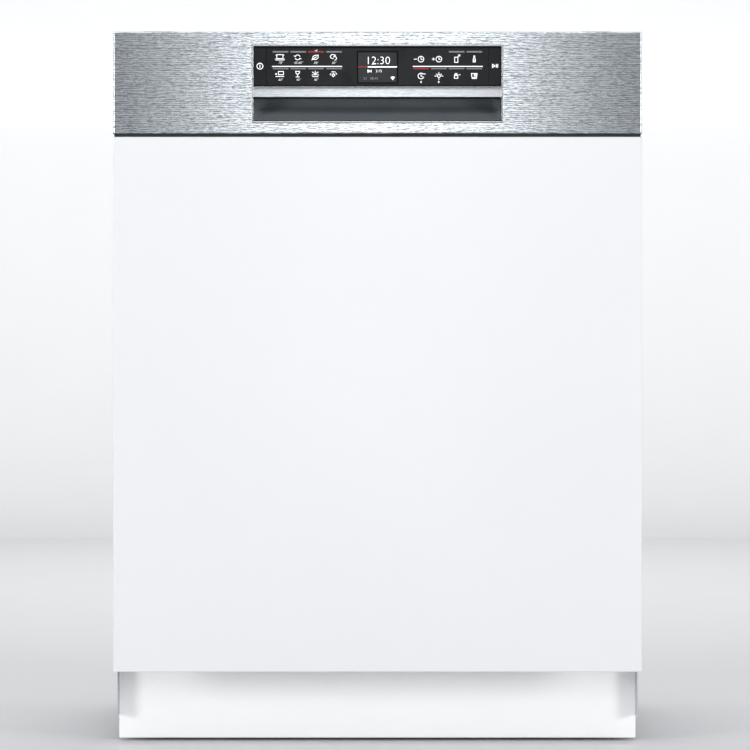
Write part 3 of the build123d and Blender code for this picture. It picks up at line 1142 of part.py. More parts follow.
# ---------------------------------------------------------------- export
def write(node, shape):
    """Writes one sub-part's STEP file."""
    solids = []
    for piece in shape if isinstance(shape, list) else [shape]:
        solids += piece.solids()
    export_step(solids[0] if len(solids) == 1 else Compound(children=solids), f"parts/{node}.step")


def sub_parts():
    """Every sub-part by its node's name."""
    parts = {
        "base_tray": base_tray(),
        "rear_connections": rear_connections(),
        "front_left_foot": foot(-FOOT_X, FRONT_FOOT_Y),
        "front_right_foot": foot(FOOT_X, FRONT_FOOT_Y),
        "rear_foot": foot(0, REAR_FOOT_Y),
        "rear_foot_adjuster": rear_foot_adjuster(),
        "toe_panel": toe_panel(),
        "tub_wrap": tub_wrap(),
        "tub_back": tub_back(),
        "tub_floor": tub_floor(),
        "tub_front_frame": tub_front_frame(),
        "door_gasket": door_gasket(),
        "riser_pipe": riser_pipe(),
        "insulation_mat": insulation_mat(),
        "side_panels": side_panels(),
        "rear_panel": rear_panel(),
        "top_braces": top_braces(),
        "sump": sump(),
        "pumps": pumps(),
        "fine_filter": fine_filter(),
        "coarse_filter": coarse_filter(),
        "salt_container": salt_container(),
        "salt_cap": salt_cap(),
        "lower_spray_arm": spray_arm(LOWER_ARM_REACH, PUMP_Y, LOWER_ARM_Z, HUB_RADIUS, HUB_BORE),
        "upper_spray_feed": upper_spray_feed(),
        "upper_spray_arm": spray_arm(UPPER_ARM_REACH, PUMP_Y, UPPER_ARM_Z, FEED_STUB_RADIUS, ARM_BODY + 1),
        "lower_rack_basket": lower_basket(),
        "left_tine_row": folding_tines(-TINE_ROW_X),
        "right_tine_row": folding_tines(TINE_ROW_X),
        "upper_rack_basket": upper_basket(),
        "left_cup_shelf": cup_shelf(-1),
        "right_cup_shelf": cup_shelf(1),
        "fixed_rails": fixed_rails(),
        "middle_rails": middle_rails(),
        "inner_rails": inner_rails(),
        "cutlery_tray": cutlery_tray(),
        "outer_door_sheet": outer_door_sheet(),
        "inner_door_panel": inner_door_panel(),
        "door_screws": door_screws(),
        "furniture_front": furniture_front(),
        "fascia_plate": fascia_plate(),
        "fascia_carrier": fascia_carrier(),
        "grip_strip": grip_strip(),
        "grip_pocket": grip_pocket(),
        "touch_panel": touch_panel(),
        "display_window": display_window(),
        "power_key": end_key(-1),
        "start_key": end_key(1),
        "control_module": control_module(),
        "door_lock": door_lock(),
        "dispenser_body": dispenser_body(),
        "detergent_lid": detergent_lid(),
        "rinse_aid_cap": rinse_aid_cap(),
        "hinge_brackets": hinge_brackets(),
        "hinge_arms": hinge_arms(),
        "door_springs": door_springs(),
    }
    for side_name, side in (("left", -1), ("right", 1)):
        for end_name, y in (("front", FRONT_WHEEL_Y), ("rear", REAR_WHEEL_Y)):
            parts[f"{end_name}_{side_name}_wheel"] = wheel(side, y)
    return parts


os.makedirs("parts", exist_ok=True)
for node_name, node_shape in sub_parts().items():
    write(node_name, node_shape)
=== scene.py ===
"""Dresses the built-in dishwasher: its finishes, printed fields, display, small fittings and soft light."""

import logging
import math
from dataclasses import dataclass, field
from enum import Enum

import bmesh
import bpy
from mathutils import Matrix, Vector


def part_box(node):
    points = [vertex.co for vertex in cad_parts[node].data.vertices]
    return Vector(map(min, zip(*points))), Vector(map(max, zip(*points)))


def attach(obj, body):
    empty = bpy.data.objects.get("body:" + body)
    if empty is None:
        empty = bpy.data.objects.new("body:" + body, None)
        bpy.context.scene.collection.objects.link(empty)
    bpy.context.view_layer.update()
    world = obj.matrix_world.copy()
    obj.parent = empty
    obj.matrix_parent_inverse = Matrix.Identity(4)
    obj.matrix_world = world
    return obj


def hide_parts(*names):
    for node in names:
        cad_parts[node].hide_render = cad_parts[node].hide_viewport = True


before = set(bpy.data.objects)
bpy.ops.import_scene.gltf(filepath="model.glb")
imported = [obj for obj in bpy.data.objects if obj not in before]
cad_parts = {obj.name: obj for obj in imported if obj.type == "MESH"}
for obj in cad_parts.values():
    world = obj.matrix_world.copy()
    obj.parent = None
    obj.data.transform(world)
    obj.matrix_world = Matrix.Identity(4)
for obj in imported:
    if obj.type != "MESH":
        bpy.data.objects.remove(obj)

LOG = logging.getLogger("dishwasher")
MM = 0.001

Colour = tuple[float, float, float]
Point = tuple[float, float]
Stroke = tuple[list[Point], bool]
Socket = bpy.types.NodeSocket


# ------------------------------------------------------------------ finishes
class Graph:
    """One finish's node tree, with short calls that add and join its nodes."""

    def __init__(self, name: str) -> None:
        """Starts a material with its shader and the piece's own coordinates.

        Args:
            name: The material's name.
        """
        self.material = bpy.data.materials.new(name)
        self.material.use_nodes = True
        self.tree = self.material.node_tree
        self.shader = self.tree.nodes["Principled BSDF"]
        self.place = self.add("ShaderNodeTexCoord").outputs["Object"]

    def add(self, kind: str, inputs: dict | None = None, **settings: object) -> bpy.types.Node:
        """Adds a node.

        Args:
            kind: The node's type.
            inputs: Values or sockets for the node's inputs.
            settings: Attributes of the node.

        Returns:
            The new node.
        """
        node = self.tree.nodes.new(kind)
        for key, value in settings.items():
            setattr(node, key, value)
        self.feed(node, inputs or {})
        return node

    def feed(self, node: bpy.types.Node, inputs: dict) -> None:
        """Sets a node's inputs.

        Args:
            node: The node.
            inputs: A value or a socket for each named or numbered input.
        """
        for key, value in inputs.items():
            socket = node.inputs[key]
            if isinstance(value, Socket):
                self.tree.links.new(value, socket)
            elif socket.type == "RGBA" and len(value) == 3:
                socket.default_value = (*value, 1.0)
            else:
                socket.default_value = value

    def finish(self, **inputs: object) -> None:
        """Sets the shader's inputs, with underscores for the spaces in their names."""
        self.feed(self.shader, {key.replace("_", " "): value for key, value in inputs.items()})

    def stretched(self, scale: tuple[float, float, float]) -> Socket:
        """Returns the piece's coordinates, scaled along each axis."""
        return self.add("ShaderNodeMapping", {"Vector": self.place, "Scale": scale}).outputs[0]

    def noise(self, scale: float, detail: float = 3.0, place: Socket | None = None) -> Socket:
        """Returns a soft random value with features of about one over the scale, in metres."""
        inputs = {"Vector": place or self.place, "Scale": scale, "Detail": detail}
        return self.add("ShaderNodeTexNoise", inputs).outputs[0]

    def cells(self, scale: float, output: str = "Distance", place: Socket | None = None) -> Socket:
        """Returns one output of a cell pattern."""
        inputs = {"Vector": place or self.place, "Scale": scale}
        return self.add("ShaderNodeTexVoronoi", inputs).outputs[output]

    def span(self, value: Socket, low: float, high: float, start: float, end: float) -> Socket:
        """Returns the value's stretch from low to high, mapped to start and end."""
        inputs = {0: value, 1: low, 2: high, 3: start, 4: end}
        return self.add("ShaderNodeMapRange", inputs).outputs[0]

    def mixed(self, share: Socket, first: Colour | Socket, second: Colour | Socket) -> Socket:
        """Returns a colour between two, by share."""
        inputs = {0: share, 6: first, 7: second}
        return self.add("ShaderNodeMix", inputs, data_type="RGBA").outputs[2]

    def sum(self, first: Socket, second: Socket | float, how: str = "ADD") -> Socket:
        """Returns two values joined by a sum or another operation."""
        return self.add("ShaderNodeMath", {0: first, 1: second}, operation=how).outputs[0]

    def axis(self, index: int) -> Socket:
        """Returns the place along X, Y or Z, in metres."""
        return self.add("ShaderNodeSeparateXYZ", {0: self.place}).outputs[index]

    def bump(self, height: Socket, strength: float, depth: float, under: Socket | None = None) -> Socket:
        """Returns a normal that is disturbed by a height.

        Args:
            height: The height pattern.
            strength: How much of it shows.
            depth: Its depth in metres.
            under: A normal to lay it over.

        Returns:
            The disturbed normal.
        """
        inputs = {"Height": height, "Strength": strength, "Distance": depth}
        if under:
            inputs["Normal"] = under
        return self.add("ShaderNodeBump", inputs).outputs[0]


def shade_of(colour: Colour, factor: float) -> Colour:
    """Returns a colour made lighter or darker."""
    return tuple(min(1.0, part * factor) for part in colour)


@dataclass(frozen=True)
class Finish:
    """A surface finish that becomes one shared material.

    Attributes:
        name: The material's name.
        colour: The finish's middle colour.
        roughness: The finish's middle roughness.
    """

    name: str
    colour: Colour
    roughness: float = 0.5

    def material(self) -> bpy.types.Material:
        """Makes the finish's material on its first use.

        Returns:
            The one material of this finish.
        """
        found = bpy.data.materials.get(self.name)
        if found is None:
            graph = Graph(self.name)
            self.shade(graph)
            found = graph.material
        return found

    def shade(self, graph: Graph) -> None:
        """Builds the finish's nodes; each kind of finish has its own."""
        raise NotImplementedError

    def clouded(self, graph: Graph, scale: float, spread: float) -> Socket:
        """Returns the colour with soft patches a little lighter and darker."""
        share = graph.span(graph.noise(scale, 4), 0.3, 0.7, 0.0, 1.0)
        return graph.mixed(share, shade_of(self.colour, 1 - spread), shade_of(self.colour, 1 + spread))

    def worn(self, graph: Graph, scale: float, spread: float) -> Socket:
        """Returns the roughness with soft patches a little smoother and rougher."""
        return graph.span(graph.noise(scale, 5), 0.3, 0.7, self.roughness - spread, self.roughness + spread)


@dataclass(frozen=True)
class Lacquer(Finish):
    """Sprayed furniture lacquer with a faint orange peel under a clear coat."""

    def shade(self, graph: Graph) -> None:
        """Builds the peel, the slow tone changes and the coat.

        Args:
            graph: The material's node tree.
        """
        peel = graph.bump(graph.noise(700, 2), 0.06, 0.0004)
        graph.finish(Base_Color=self.clouded(graph, 5, 0.006), Roughness=self.worn(graph, 40, 0.03),
                     Coat_Weight=0.25, Coat_Roughness=0.16, Normal=peel)


class Grain(Enum):
    """The axis that a metal's brush lines run along."""

    ACROSS = 0
    DEEP = 1
    UPRIGHT = 2


@dataclass(frozen=True)
class BrushedMetal(Finish):
    """Metal with short brush lines over finer ones.

    Attributes:
        grain: The way that the lines run.
        contrast: How much lighter and darker single lines are.
        depth: How deep the lines are, in metres.
        length: How long a line is, in metres.
        width: How wide a line is, in metres.
    """

    grain: Grain = Grain.ACROSS
    contrast: float = 0.1
    depth: float = 0.00002
    length: float = 0.0105
    width: float = 0.0007

    def shade(self, graph: Graph) -> None:
        """Builds even ridges that sway and merge over finer lines, in colour, roughness and relief.

        Args:
            graph: The material's node tree.
        """
        along = self.grain.value
        sideways = [i for i in range(3) if i != along]
        run = graph.stretched(tuple(1 / (self.length if i == along else self.width) for i in range(3)))
        parts = graph.add("ShaderNodeSeparateXYZ", {0: run}).outputs
        across = graph.sum(*(parts[i] for i in sideways))
        sway = graph.sum(graph.noise(0.4, 2, run), 4.0, "MULTIPLY")
        ridges = graph.sum(graph.sum(across, sway), 1.0, "PINGPONG")
        fine = graph.sum(graph.noise(1.7, 3, run), 0.75, "MULTIPLY")
        lines = graph.sum(graph.sum(ridges, 0.25, "MULTIPLY"), fine)
        share = graph.span(lines, 0.38, 0.62, 0.0, 1.0)
        dark, light = (shade_of(self.colour, 1 + way * self.contrast) for way in (-1, 1))
        rough = graph.span(lines, 0.36, 0.64, self.roughness + 0.04, self.roughness - 0.04)
        graph.finish(Base_Color=graph.mixed(share, dark, light), Metallic=1.0, Roughness=rough,
                     Normal=graph.bump(lines, 0.5, self.depth))


@dataclass(frozen=True)
class SmokedGlass(Finish):
    """Dark tinted glass, printed black behind, with a trace of finger smudges."""

    def shade(self, graph: Graph) -> None:
        """Builds the tint and the smudges."""
        smudge = graph.span(graph.noise(45, 6), 0.5, 0.75, self.roughness, self.roughness + 0.12)
        graph.finish(Base_Color=self.clouded(graph, 30, 0.06), Roughness=smudge, Specular_IOR_Level=0.1)


@dataclass(frozen=True)
class PrintedInk(Finish):
    """Screen-printed ink with a slightly uneven film, lit a little from behind.

    Attributes:
        glow: The strength of the light from behind.
    """

    glow: float = 0.0

    def shade(self, graph: Graph) -> None:
        """Builds the film's tone, relief and light.

        Args:
            graph: The material's node tree.
        """
        tone = self.clouded(graph, 900, 0.08)
        graph.finish(Base_Color=tone, Roughness=self.worn(graph, 600, 0.05), Emission_Color=tone,
                     Emission_Strength=self.glow, Normal=graph.bump(graph.noise(2500, 2), 0.1, 0.00005))


@dataclass(frozen=True)
class Moulded(Finish):
    """Moulded plastic with a fine spark-eroded texture.

    Attributes:
        grain: The texture's features per metre.
        sheer: How much light passes through.
    """

    grain: float = 2200.0
    sheer: float = 0.0

    def shade(self, graph: Graph) -> None:
        """Builds the texture and the slow changes of tone and gloss.

        Args:
            graph: The material's node tree.
        """
        eroded = graph.sum(graph.cells(self.grain), graph.noise(self.grain * 0.4, 3))
        graph.finish(Base_Color=self.clouded(graph, 25, 0.05), Roughness=self.worn(graph, 80, 0.05),
                     Transmission_Weight=self.sheer, Normal=graph.bump(eroded, 0.16, 0.0001))


@dataclass(frozen=True)
class Spangled(Finish):
    """Hot-dip zinc sheet with crystals of differing shine."""

    def shade(self, graph: Graph) -> None:
        """Builds the crystals in tone, gloss and relief.

        Args:
            graph: The material's node tree.
        """
        scatter = graph.add("ShaderNodeTexNoise", {"Vector": graph.place, "Scale": 30}).outputs[1]
        warped = graph.add("ShaderNodeMixRGB", {0: 0.035, 1: graph.place, 2: scatter}).outputs[0]
        crystal = graph.add("ShaderNodeSeparateColor", {0: graph.cells(120, "Color", warped)}).outputs[0]
        tone = graph.mixed(crystal, shade_of(self.colour, 0.92), shade_of(self.colour, 1.06))
        rough = graph.span(crystal, 0.0, 1.0, self.roughness - 0.05, self.roughness + 0.06)
        graph.finish(Base_Color=tone, Metallic=0.85, Roughness=rough,
                     Normal=graph.bump(graph.noise(500, 4), 0.08, 0.0002))


@dataclass(frozen=True)
class Rubber(Finish):
    """Moulded seal rubber, dusty and matt, with a fine grain."""

    def shade(self, graph: Graph) -> None:
        """Builds the grain and the bloom."""
        graph.finish(Base_Color=self.clouded(graph, 60, 0.12), Roughness=self.worn(graph, 120, 0.08),
                     Sheen_Weight=0.15, Normal=graph.bump(graph.noise(1600, 3), 0.25, 0.0002))


@dataclass(frozen=True)
class Felt(Finish):
    """Pressed felt with short loose fibres and pale flecks."""

    def shade(self, graph: Graph) -> None:
        """Builds the fibres and the flecks.

        Args:
            graph: The material's node tree.
        """
        fibre = graph.noise(900, 6, graph.stretched((1.0, 0.35, 0.6)))
        fleck = graph.span(graph.noise(400, 2), 0.62, 0.72, 0.0, 0.5)
        tone = graph.mixed(fleck, self.clouded(graph, 200, 0.3), shade_of(self.colour, 3.2))
        graph.finish(Base_Color=tone, Roughness=self.worn(graph, 300, 0.04), Sheen_Weight=0.5,
                     Normal=graph.bump(fibre, 0.8, 0.001))


@dataclass(frozen=True)
class CoatedWire(Finish):
    """Sintered nylon on wire: a soft skin with a slight ripple."""

    def shade(self, graph: Graph) -> None:
        """Builds the ripple and the satin skin.

        Args:
            graph: The material's node tree.
        """
        ripple = graph.bump(graph.noise(380, 3), 0.2, 0.0004)
        graph.finish(Base_Color=self.clouded(graph, 90, 0.05), Roughness=self.worn(graph, 150, 0.06),
                     Coat_Weight=0.2, Coat_Roughness=0.3, Normal=ripple)


@dataclass(frozen=True)
class Threaded(Finish):
    """Moulded or turned thread, its ridges drawn as relief along one axis.

    Attributes:
        index: The thread's axis: 0, 1 or 2.
        pitch: The distance between ridges, in metres.
        metal: How metallic the piece is.
    """

    index: int = 2
    pitch: float = 0.0018
    metal: float = 0.0

    def shade(self, graph: Graph) -> None:
        """Builds the ridges over a moulded skin.

        Args:
            graph: The material's node tree.
        """
        along = graph.sum(graph.axis(self.index), 1 / self.pitch, "MULTIPLY")
        ridge = graph.sum(along, 1.0, "PINGPONG")
        skin = graph.bump(graph.noise(1500, 3), 0.12, 0.0001)
        graph.finish(Base_Color=self.clouded(graph, 50, 0.08), Roughness=self.worn(graph, 120, 0.06),
                     Metallic=self.metal, Normal=graph.bump(ridge, 0.5, self.pitch * 0.5, skin))


FASCIA_METAL = BrushedMetal("brushed_fascia_sheet", (0.43, 0.46, 0.484), 0.19, Grain.ACROSS, 0.57, 0.000008,
                            0.009, 0.0011)
GRIP_METAL = BrushedMetal("satin_grip_strip", (0.375, 0.39, 0.403), 0.2, Grain.ACROSS, 0.03, 0.0000006)
# The front and the toe panel are one white lacquer; the toe's copy is painted lighter than the front's to
# make up for the shade under the door.
WHITE_LACQUER = Lacquer("white_lacquer", (0.705, 0.714, 0.724), 0.36)
TOE_LACQUER_PAINTED_LIGHT = Lacquer("toe_lacquer_painted_light", (0.95, 0.955, 0.96), 0.42)
TOUCH_GLASS = SmokedGlass("smoked_touch_glass", (0.009, 0.0098, 0.0108), 0.16)
DISPLAY_GLASS = SmokedGlass("tinted_display_glass", (0.026, 0.0275, 0.03), 0.2)
GREY_INK = PrintedInk("grey_field_ink", (0.17, 0.176, 0.184), 0.5, 0.08)
WHITE_INK = PrintedInk("white_ink", (0.86, 0.87, 0.88), 0.5, 0.5)
RED_LIGHT = PrintedInk("red_field_light", (0.25, 0.011, 0.009), 0.4, 0.25)
DISPLAY_LIGHT = PrintedInk("display_segments", (0.9, 0.92, 0.94), 0.4, 1.0)
DIM_LIGHT = PrintedInk("dim_display_segments", (0.22, 0.235, 0.25), 0.4, 0.3)
RECESS_PLASTIC = Moulded("grip_recess_moulding", (0.125, 0.14, 0.152), 0.42)
CARRIER_PLASTIC = Moulded("fascia_carrier_moulding", (0.2, 0.21, 0.22), 0.5)
BLACK_PLASTIC = Moulded("black_moulding", (0.03, 0.031, 0.033), 0.5)
BASE_PLASTIC = Moulded("grained_base_moulding", (0.075, 0.078, 0.083), 0.55, 1400)
WATER_PLASTIC = Moulded("water_part_moulding", (0.36, 0.375, 0.395), 0.45)
RACK_PLASTIC = Moulded("rack_moulding", (0.47, 0.49, 0.515), 0.42)
DISPENSER_PLASTIC = Moulded("dispenser_moulding", (0.3, 0.31, 0.33), 0.38)
PALE_PLASTIC = Moulded("pale_moulding", (0.72, 0.72, 0.7), 0.45)
ZINC_SHEET = Spangled("zinc_sheet", (0.56, 0.58, 0.6), 0.42)
HINGE_METAL = BrushedMetal("zinc_plated_steel", (0.5, 0.5, 0.49), 0.36, Grain.DEEP, 0.08, 0.000004,
                           0.02, 0.0004)
TUB_STEEL = BrushedMetal("tub_steel", (0.64, 0.65, 0.66), 0.26, Grain.UPRIGHT, 0.05, 0.000002, 0.06, 0.0005)
DOOR_STEEL = BrushedMetal("door_steel", (0.66, 0.67, 0.68), 0.24, Grain.UPRIGHT, 0.05, 0.000002, 0.08, 0.0005)
RAIL_STEEL = BrushedMetal("rail_steel", (0.58, 0.59, 0.6), 0.32, Grain.DEEP, 0.06, 0.000003, 0.05, 0.0005)
SEAL_RUBBER = Rubber("grey_seal_rubber", (0.13, 0.135, 0.14), 0.75)
# Near-black glass finish: real print on the display's border, and painted shade in the inlay's gaps.
BLACK_PRINT_AND_PAINTED_SHADE = SmokedGlass("black_print_and_painted_shade", (0.0015, 0.0015, 0.0016), 0.5)
# Dark rubber sheet that paints the shade in the seam between the fascia and the front.
SEAM_SHADE_RUBBER = Rubber("painted_shade_seam_rubber", (0.02, 0.021, 0.022), 0.85)
GREY_FELT = Felt("insulation_felt", (0.035, 0.035, 0.038), 0.95)
RACK_WIRE = CoatedWire("nylon_coated_wire", (0.5, 0.52, 0.545), 0.36)
FOOT_THREAD = Threaded("foot_thread", (0.05, 0.05, 0.053), 0.5, 2, 0.003)
ROD_METAL = Threaded("rod_steel", (0.5, 0.5, 0.5), 0.4, 1, 0.004, 1.0)
INLET_THREAD = Threaded("inlet_thread", (0.7, 0.69, 0.66), 0.45, 1, 0.0018)


# ------------------------------------------------------------------ meshes
def smooth(piece: bpy.types.Object, angle: float = 35.0) -> None:
    """Shades a piece smooth, with sharp edges where its faces meet steeply.

    Args:
        piece: The piece.
        angle: The least angle of a sharp edge, in degrees.
    """
    for face in piece.data.polygons:
        face.use_smooth = True
    mesh = bmesh.new()
    mesh.from_mesh(piece.data)
    for edge in mesh.edges:
        edge.smooth = len(edge.link_faces) == 2 and edge.calc_face_angle(0.0) < math.radians(angle)
    mesh.to_mesh(piece.data)
    mesh.free()


def add_piece(name: str, mesh: bmesh.types.BMesh, body: str, finish: Finish) -> bpy.types.Object:
    """Makes a piece from a mesh and puts it on a body.

    Args:
        name: The piece's name.
        mesh: Its mesh, in metres, which is used up.
        body: The body that it moves with.
        finish: Its finish.

    Returns:
        The new piece.
    """
    data = bpy.data.meshes.new(name)
    bmesh.ops.recalc_face_normals(mesh, faces=mesh.faces)
    mesh.to_mesh(data)
    mesh.free()
    piece = bpy.data.objects.new(name, data)
    bpy.context.scene.collection.objects.link(piece)
    data.materials.append(finish.material())
    smooth(piece)
    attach(piece, body)
    LOG.info("%s rides on %s in %s", name, body, finish.name)
    return piece


def merge(mesh: bmesh.types.BMesh, part: bmesh.types.BMesh) -> None:
    """Adds a small part to a mesh and frees the part.

    Args:
        mesh: The mesh.
        part: The part's own mesh, which is used up.
    """
    data = bpy.data.meshes.new("part")
    part.to_mesh(data)
    part.free()
    mesh.from_mesh(data)
    bpy.data.meshes.remove(data)


def skin(mesh: bmesh.types.BMesh, rows: list[list], whole: bool = True, joined: bool = False) -> None:
    """Adds the faces between rows of points.

    Args:
        mesh: The mesh that the points are in.
        rows: Rows of as many points each, in order.
        whole: Whether each row closes on itself.
        joined: Whether the last row joins the first.
    """
    count = len(rows[0])
    for a, b in zip(rows, rows[1:] + (rows[:1] if joined else [])):
        for i in range(count if whole else count - 1):
            j = (i + 1) % count
            mesh.faces.new((a[i], a[j], b[j], b[i]))


def add_box(mesh: bmesh.types.BMesh, low: Vector, high: Vector, edge: float = 0.0) -> None:
    """Adds a box with softened edges to a mesh.

    Args:
        mesh: The mesh.
        low: The box's lowest corner, in metres.
        high: Its highest corner.
        edge: The width of its bevel.
    """
    place = Matrix.Translation((low + high) / 2) @ Matrix.Diagonal((*(high - low), 1.0))
    made = bmesh.ops.create_cube(mesh, size=1.0, matrix=place)["verts"]
    if edge:
        edges = list(dict.fromkeys(line for corner in made for line in corner.link_edges))
        bmesh.ops.bevel(mesh, geom=edges, offset=edge, segments=3, profile=0.6, affect="EDGES")


def add_ring(mesh: bmesh.types.BMesh, outline: list[Point], place: Matrix, count: int = 32) -> None:
    """Adds a turned shape to a mesh.

    Args:
        mesh: The mesh.
        outline: Its half-section as (radius, height) points, from first to last.
        place: Where its axis stands, with height along its Z.
        count: How many steps it is turned in.
    """
    rows = []
    for radius, height in outline:
        turn = [2 * math.pi * i / count for i in range(count)]
        points = [(radius * math.cos(a), radius * math.sin(a), height) for a in turn]
        rows.append([mesh.verts.new(place @ Vector(p)) for p in (points if radius > 0 else points[:1])])
    for low, high in zip(rows, rows[1:]):
        for i in range(count):
            j = (i + 1) % count
            corners = [low[i % len(low)], low[j % len(low)], high[j % len(high)], high[i % len(high)]]
            unique = list(dict.fromkeys(corners))
            if len(unique) > 2:
                mesh.faces.new(unique)


def add_stroke(mesh: bmesh.types.BMesh, stroke: Stroke, width: float, at: Vector, lift: float) -> None:
    """Adds one flat pen stroke, facing the front, to a mesh.

    Args:
        mesh: The mesh.
        stroke: The stroke's points in millimetres, and whether it closes.
        width: The pen's width in metres.
        at: The symbol's middle on the surface.
        lift: How far the print stands off the surface, in metres.
    """
    points, closed = stroke
    line = [Vector(p) for p in points]
    count = len(line)
    pairs = []
    for i, point in enumerate(line):
        before = line[(i - 1) % count] if closed or i else None
        after = line[(i + 1) % count] if closed or i < count - 1 else None
        ways = [(b - a).normalized() for a, b in ((before, point), (point, after)) if a and b]
        way = sum(ways, Vector((0, 0))).normalized()
        side = Vector((-way.y, way.x))
        side /= max(0.4, side.dot(Vector((-ways[0].y, ways[0].x))))
        end = way * width / MM * 0.35 * ((after is None) - (before is None))
        pairs.append([point + end + side * width / MM / 2, point + end - side * width / MM / 2])
    back, front = at.y, at.y - lift
    rows = [[mesh.verts.new((at.x + p.x * MM, y, at.z + p.y * MM)) for p in pair for y in (back, front)]
            for pair in pairs]
    steps = list(zip(rows, rows[1:])) + ([(rows[-1], rows[0])] if closed else [])
    for a, b in steps:
        for i, j in ((1, 3), (3, 2), (0, 1)):
            mesh.faces.new((a[i], a[j], b[j], b[i]))
    for row in () if closed else (rows[0], rows[-1]):
        mesh.faces.new((row[0], row[1], row[3], row[2]))


def arc(x: float, z: float, radius: float, start: float = 0.0, end: float = 360.0) -> Stroke:
    """Returns an arc or circle as a stroke.

    Args:
        x: Its middle across, in millimetres.
        z: Its middle's height.
        radius: Its radius.
        start: The angle that it starts at, in degrees.
        end: The angle that it ends at.

    Returns:
        The stroke, closed if it is a whole turn.
    """
    whole = end - start >= 360
    steps = max(4, int(abs(end - start) / 15))
    turns = [math.radians(start + (end - start) * i / steps) for i in range(steps + (not whole))]
    return [(x + radius * math.cos(a), z + radius * math.sin(a)) for a in turns], whole


def frame_of(x: float, z: float, width: float, height: float) -> Stroke:
    """Returns a rectangle as a closed stroke."""
    w, h = width / 2, height / 2
    return [(x - w, z - h), (x + w, z - h), (x + w, z + h), (x - w, z + h)], True


def line_of(*points: Point) -> Stroke:
    """Returns an open stroke through the points."""
    return list(points), False


CLOCK = [arc(0, 0, 3.2), line_of((0, 2.0), (0, 0), (1.7, -0.5))]


class Symbol(Enum):
    """The generic signs printed on the glass, each as pen strokes in millimetres."""

    POT = [frame_of(0, 0.9, 7.6, 4.8), line_of((-5.6, -2.0), (-4.8, -3.2), (4.8, -3.2), (5.6, -2.0)),
           line_of((-5.0, 2.7), (-4.2, 2.7)), line_of((4.2, 2.7), (5.0, 2.7))]
    CYCLE = [arc(0, 0, 3.0, 20, 160), arc(0, 0, 3.0, 200, 340),
             line_of((-4.2, 1.9), (-2.8, 1.0), (-1.8, 2.3)), line_of((4.2, -1.9), (2.8, -1.0), (1.8, -2.3))]
    LEAF = [([(-3.4, -2.2), (-3.0, 0.6), (-1.0, 2.4), (3.6, 2.8), (3.4, -0.6), (1.4, -2.4),
              (-1.4, -2.6)], True), line_of((-4.4, -3.2), (-1.2, -0.9), (1.6, 0.8))]
    QUICK = [arc(-1.2, 1.0, 2.4, 90, 300), arc(1.6, -1.2, 2.2, -90, 130),
             line_of((-1.0, 3.6), (2.4, 2.6), (0.4, 0.6))]
    TRAY = [line_of((-5.0, -2.8), (5.0, -2.8)), frame_of(1.3, 1.3, 6.2, 3.9), arc(-4.6, 0.2, 0.6)]
    GLASS = [([(-2.4, 3.4), (2.4, 3.4), (2.0, 1.2), (0.6, -0.2), (-0.6, -0.2), (-2.0, 1.2)], True),
             line_of((0, -0.6), (0, -3.0)), line_of((-2.0, -3.4), (2.0, -3.4))]
    SPRAY = [arc(0, 0, 1.0), line_of((-1.6, 1.2), (-3.6, 2.6)), line_of((1.6, 1.2), (3.6, 2.6)),
             line_of((0, 1.9), (0, 3.8)), line_of((-1.9, -0.6), (-4.0, -1.2)),
             line_of((1.9, -0.6), (4.0, -1.2)), line_of((-3.4, -3.0), (3.4, -3.0))]
    DROPS = [([(0, 0.8), (1.9, -1.2), (0, -3.2), (-1.9, -1.2)], True), line_of((-3.2, 0.8), (-3.9, -0.8)),
             line_of((-2.2, 2.8), (2.2, 2.8)), line_of((3.0, 1.6), (4.0, -0.2))]
    LESS_TIME = CLOCK + [line_of((-7.6, 0), (-4.8, 0))]
    MORE_TIME = CLOCK + [line_of((-7.6, 0), (-4.8, 0)), line_of((-6.2, -1.4), (-6.2, -0.4)),
                         line_of((-6.2, 0.4), (-6.2, 1.4))]
    OUTWARD = [([(-2.2, -3.6), (1.4, -3.6), (1.4, 1.6), (0.6, 2.2), (-2.2, 2.2)], True),
               line_of((1.4, 2.6), (3.4, 4.6)), line_of((2.0, 4.8), (3.6, 4.8), (3.6, 3.2))]
    BOTTLE = [([(-0.5, 3.6), (0.5, 3.6), (0.6, 1.2), (1.2, 0.2), (1.2, -3.2), (-1.2, -3.2), (-1.2, 0.2),
                (-0.6, 1.2)], True), line_of((-0.1, -2.2), (-0.1, -0.6))]
    TIMER = [arc(0, 0, 3.2, 40, 340), line_of((0, 2.0), (0, 0), (1.7, -0.5)), line_of((3.2, 2.4), (5.0, 2.4))]
    SHINE = [arc(0, 0, 1.6), line_of((-4.6, 0), (-2.8, 0)), line_of((2.8, 0), (4.6, 0)),
             line_of((0, 2.6), (0, 4.0)), line_of((0, -4.0), (0, -2.6)), line_of((-2.9, 2.3), (-2.0, 1.6)),
             line_of((2.0, 1.6), (2.9, 2.3))]
    BASKET = [frame_of(-0.6, -1.0, 3.8, 3.2), line_of((-2.4, 1.6), (1.0, 1.6)),
              line_of((-1.8, 2.8), (0.4, 2.8)), line_of((2.6, 1.4), (4.0, 1.4))]
    CARE = [([(-3.2, 2.8), (3.2, 2.8), (2.4, -2.8), (-2.4, -2.8)], True), arc(0.9, 0.9, 1.1),
            line_of((-1.5, -1.6), (1.5, -1.6))]
    POWER = [arc(0, 0, 3.7), line_of((0, -1.7), (0, 1.7))]
    START = [([(-2.9, 2.2), (0.0, 0.4), (-2.9, -1.4)], True), line_of((1.4, -1.4), (1.4, 2.2)),
             line_of((3.0, -1.4), (3.0, 2.2))]
    BACK = [line_of((0.6, 0.9), (-0.5, 0), (0.6, -0.9))]
    ONWARD = [line_of((-0.6, 0.9), (0.5, 0), (-0.6, -0.9))]
    SIGNAL = [arc(0, -1.4, 3.4, 45, 135), arc(0, -1.4, 1.9, 45, 135), arc(0, -1.2, 0.4)]
    END = [([(-2.6, 1.3), (-2.6, -1.3), (-0.4, 0)], True), line_of((1.0, 1.3), (1.0, -1.3))]


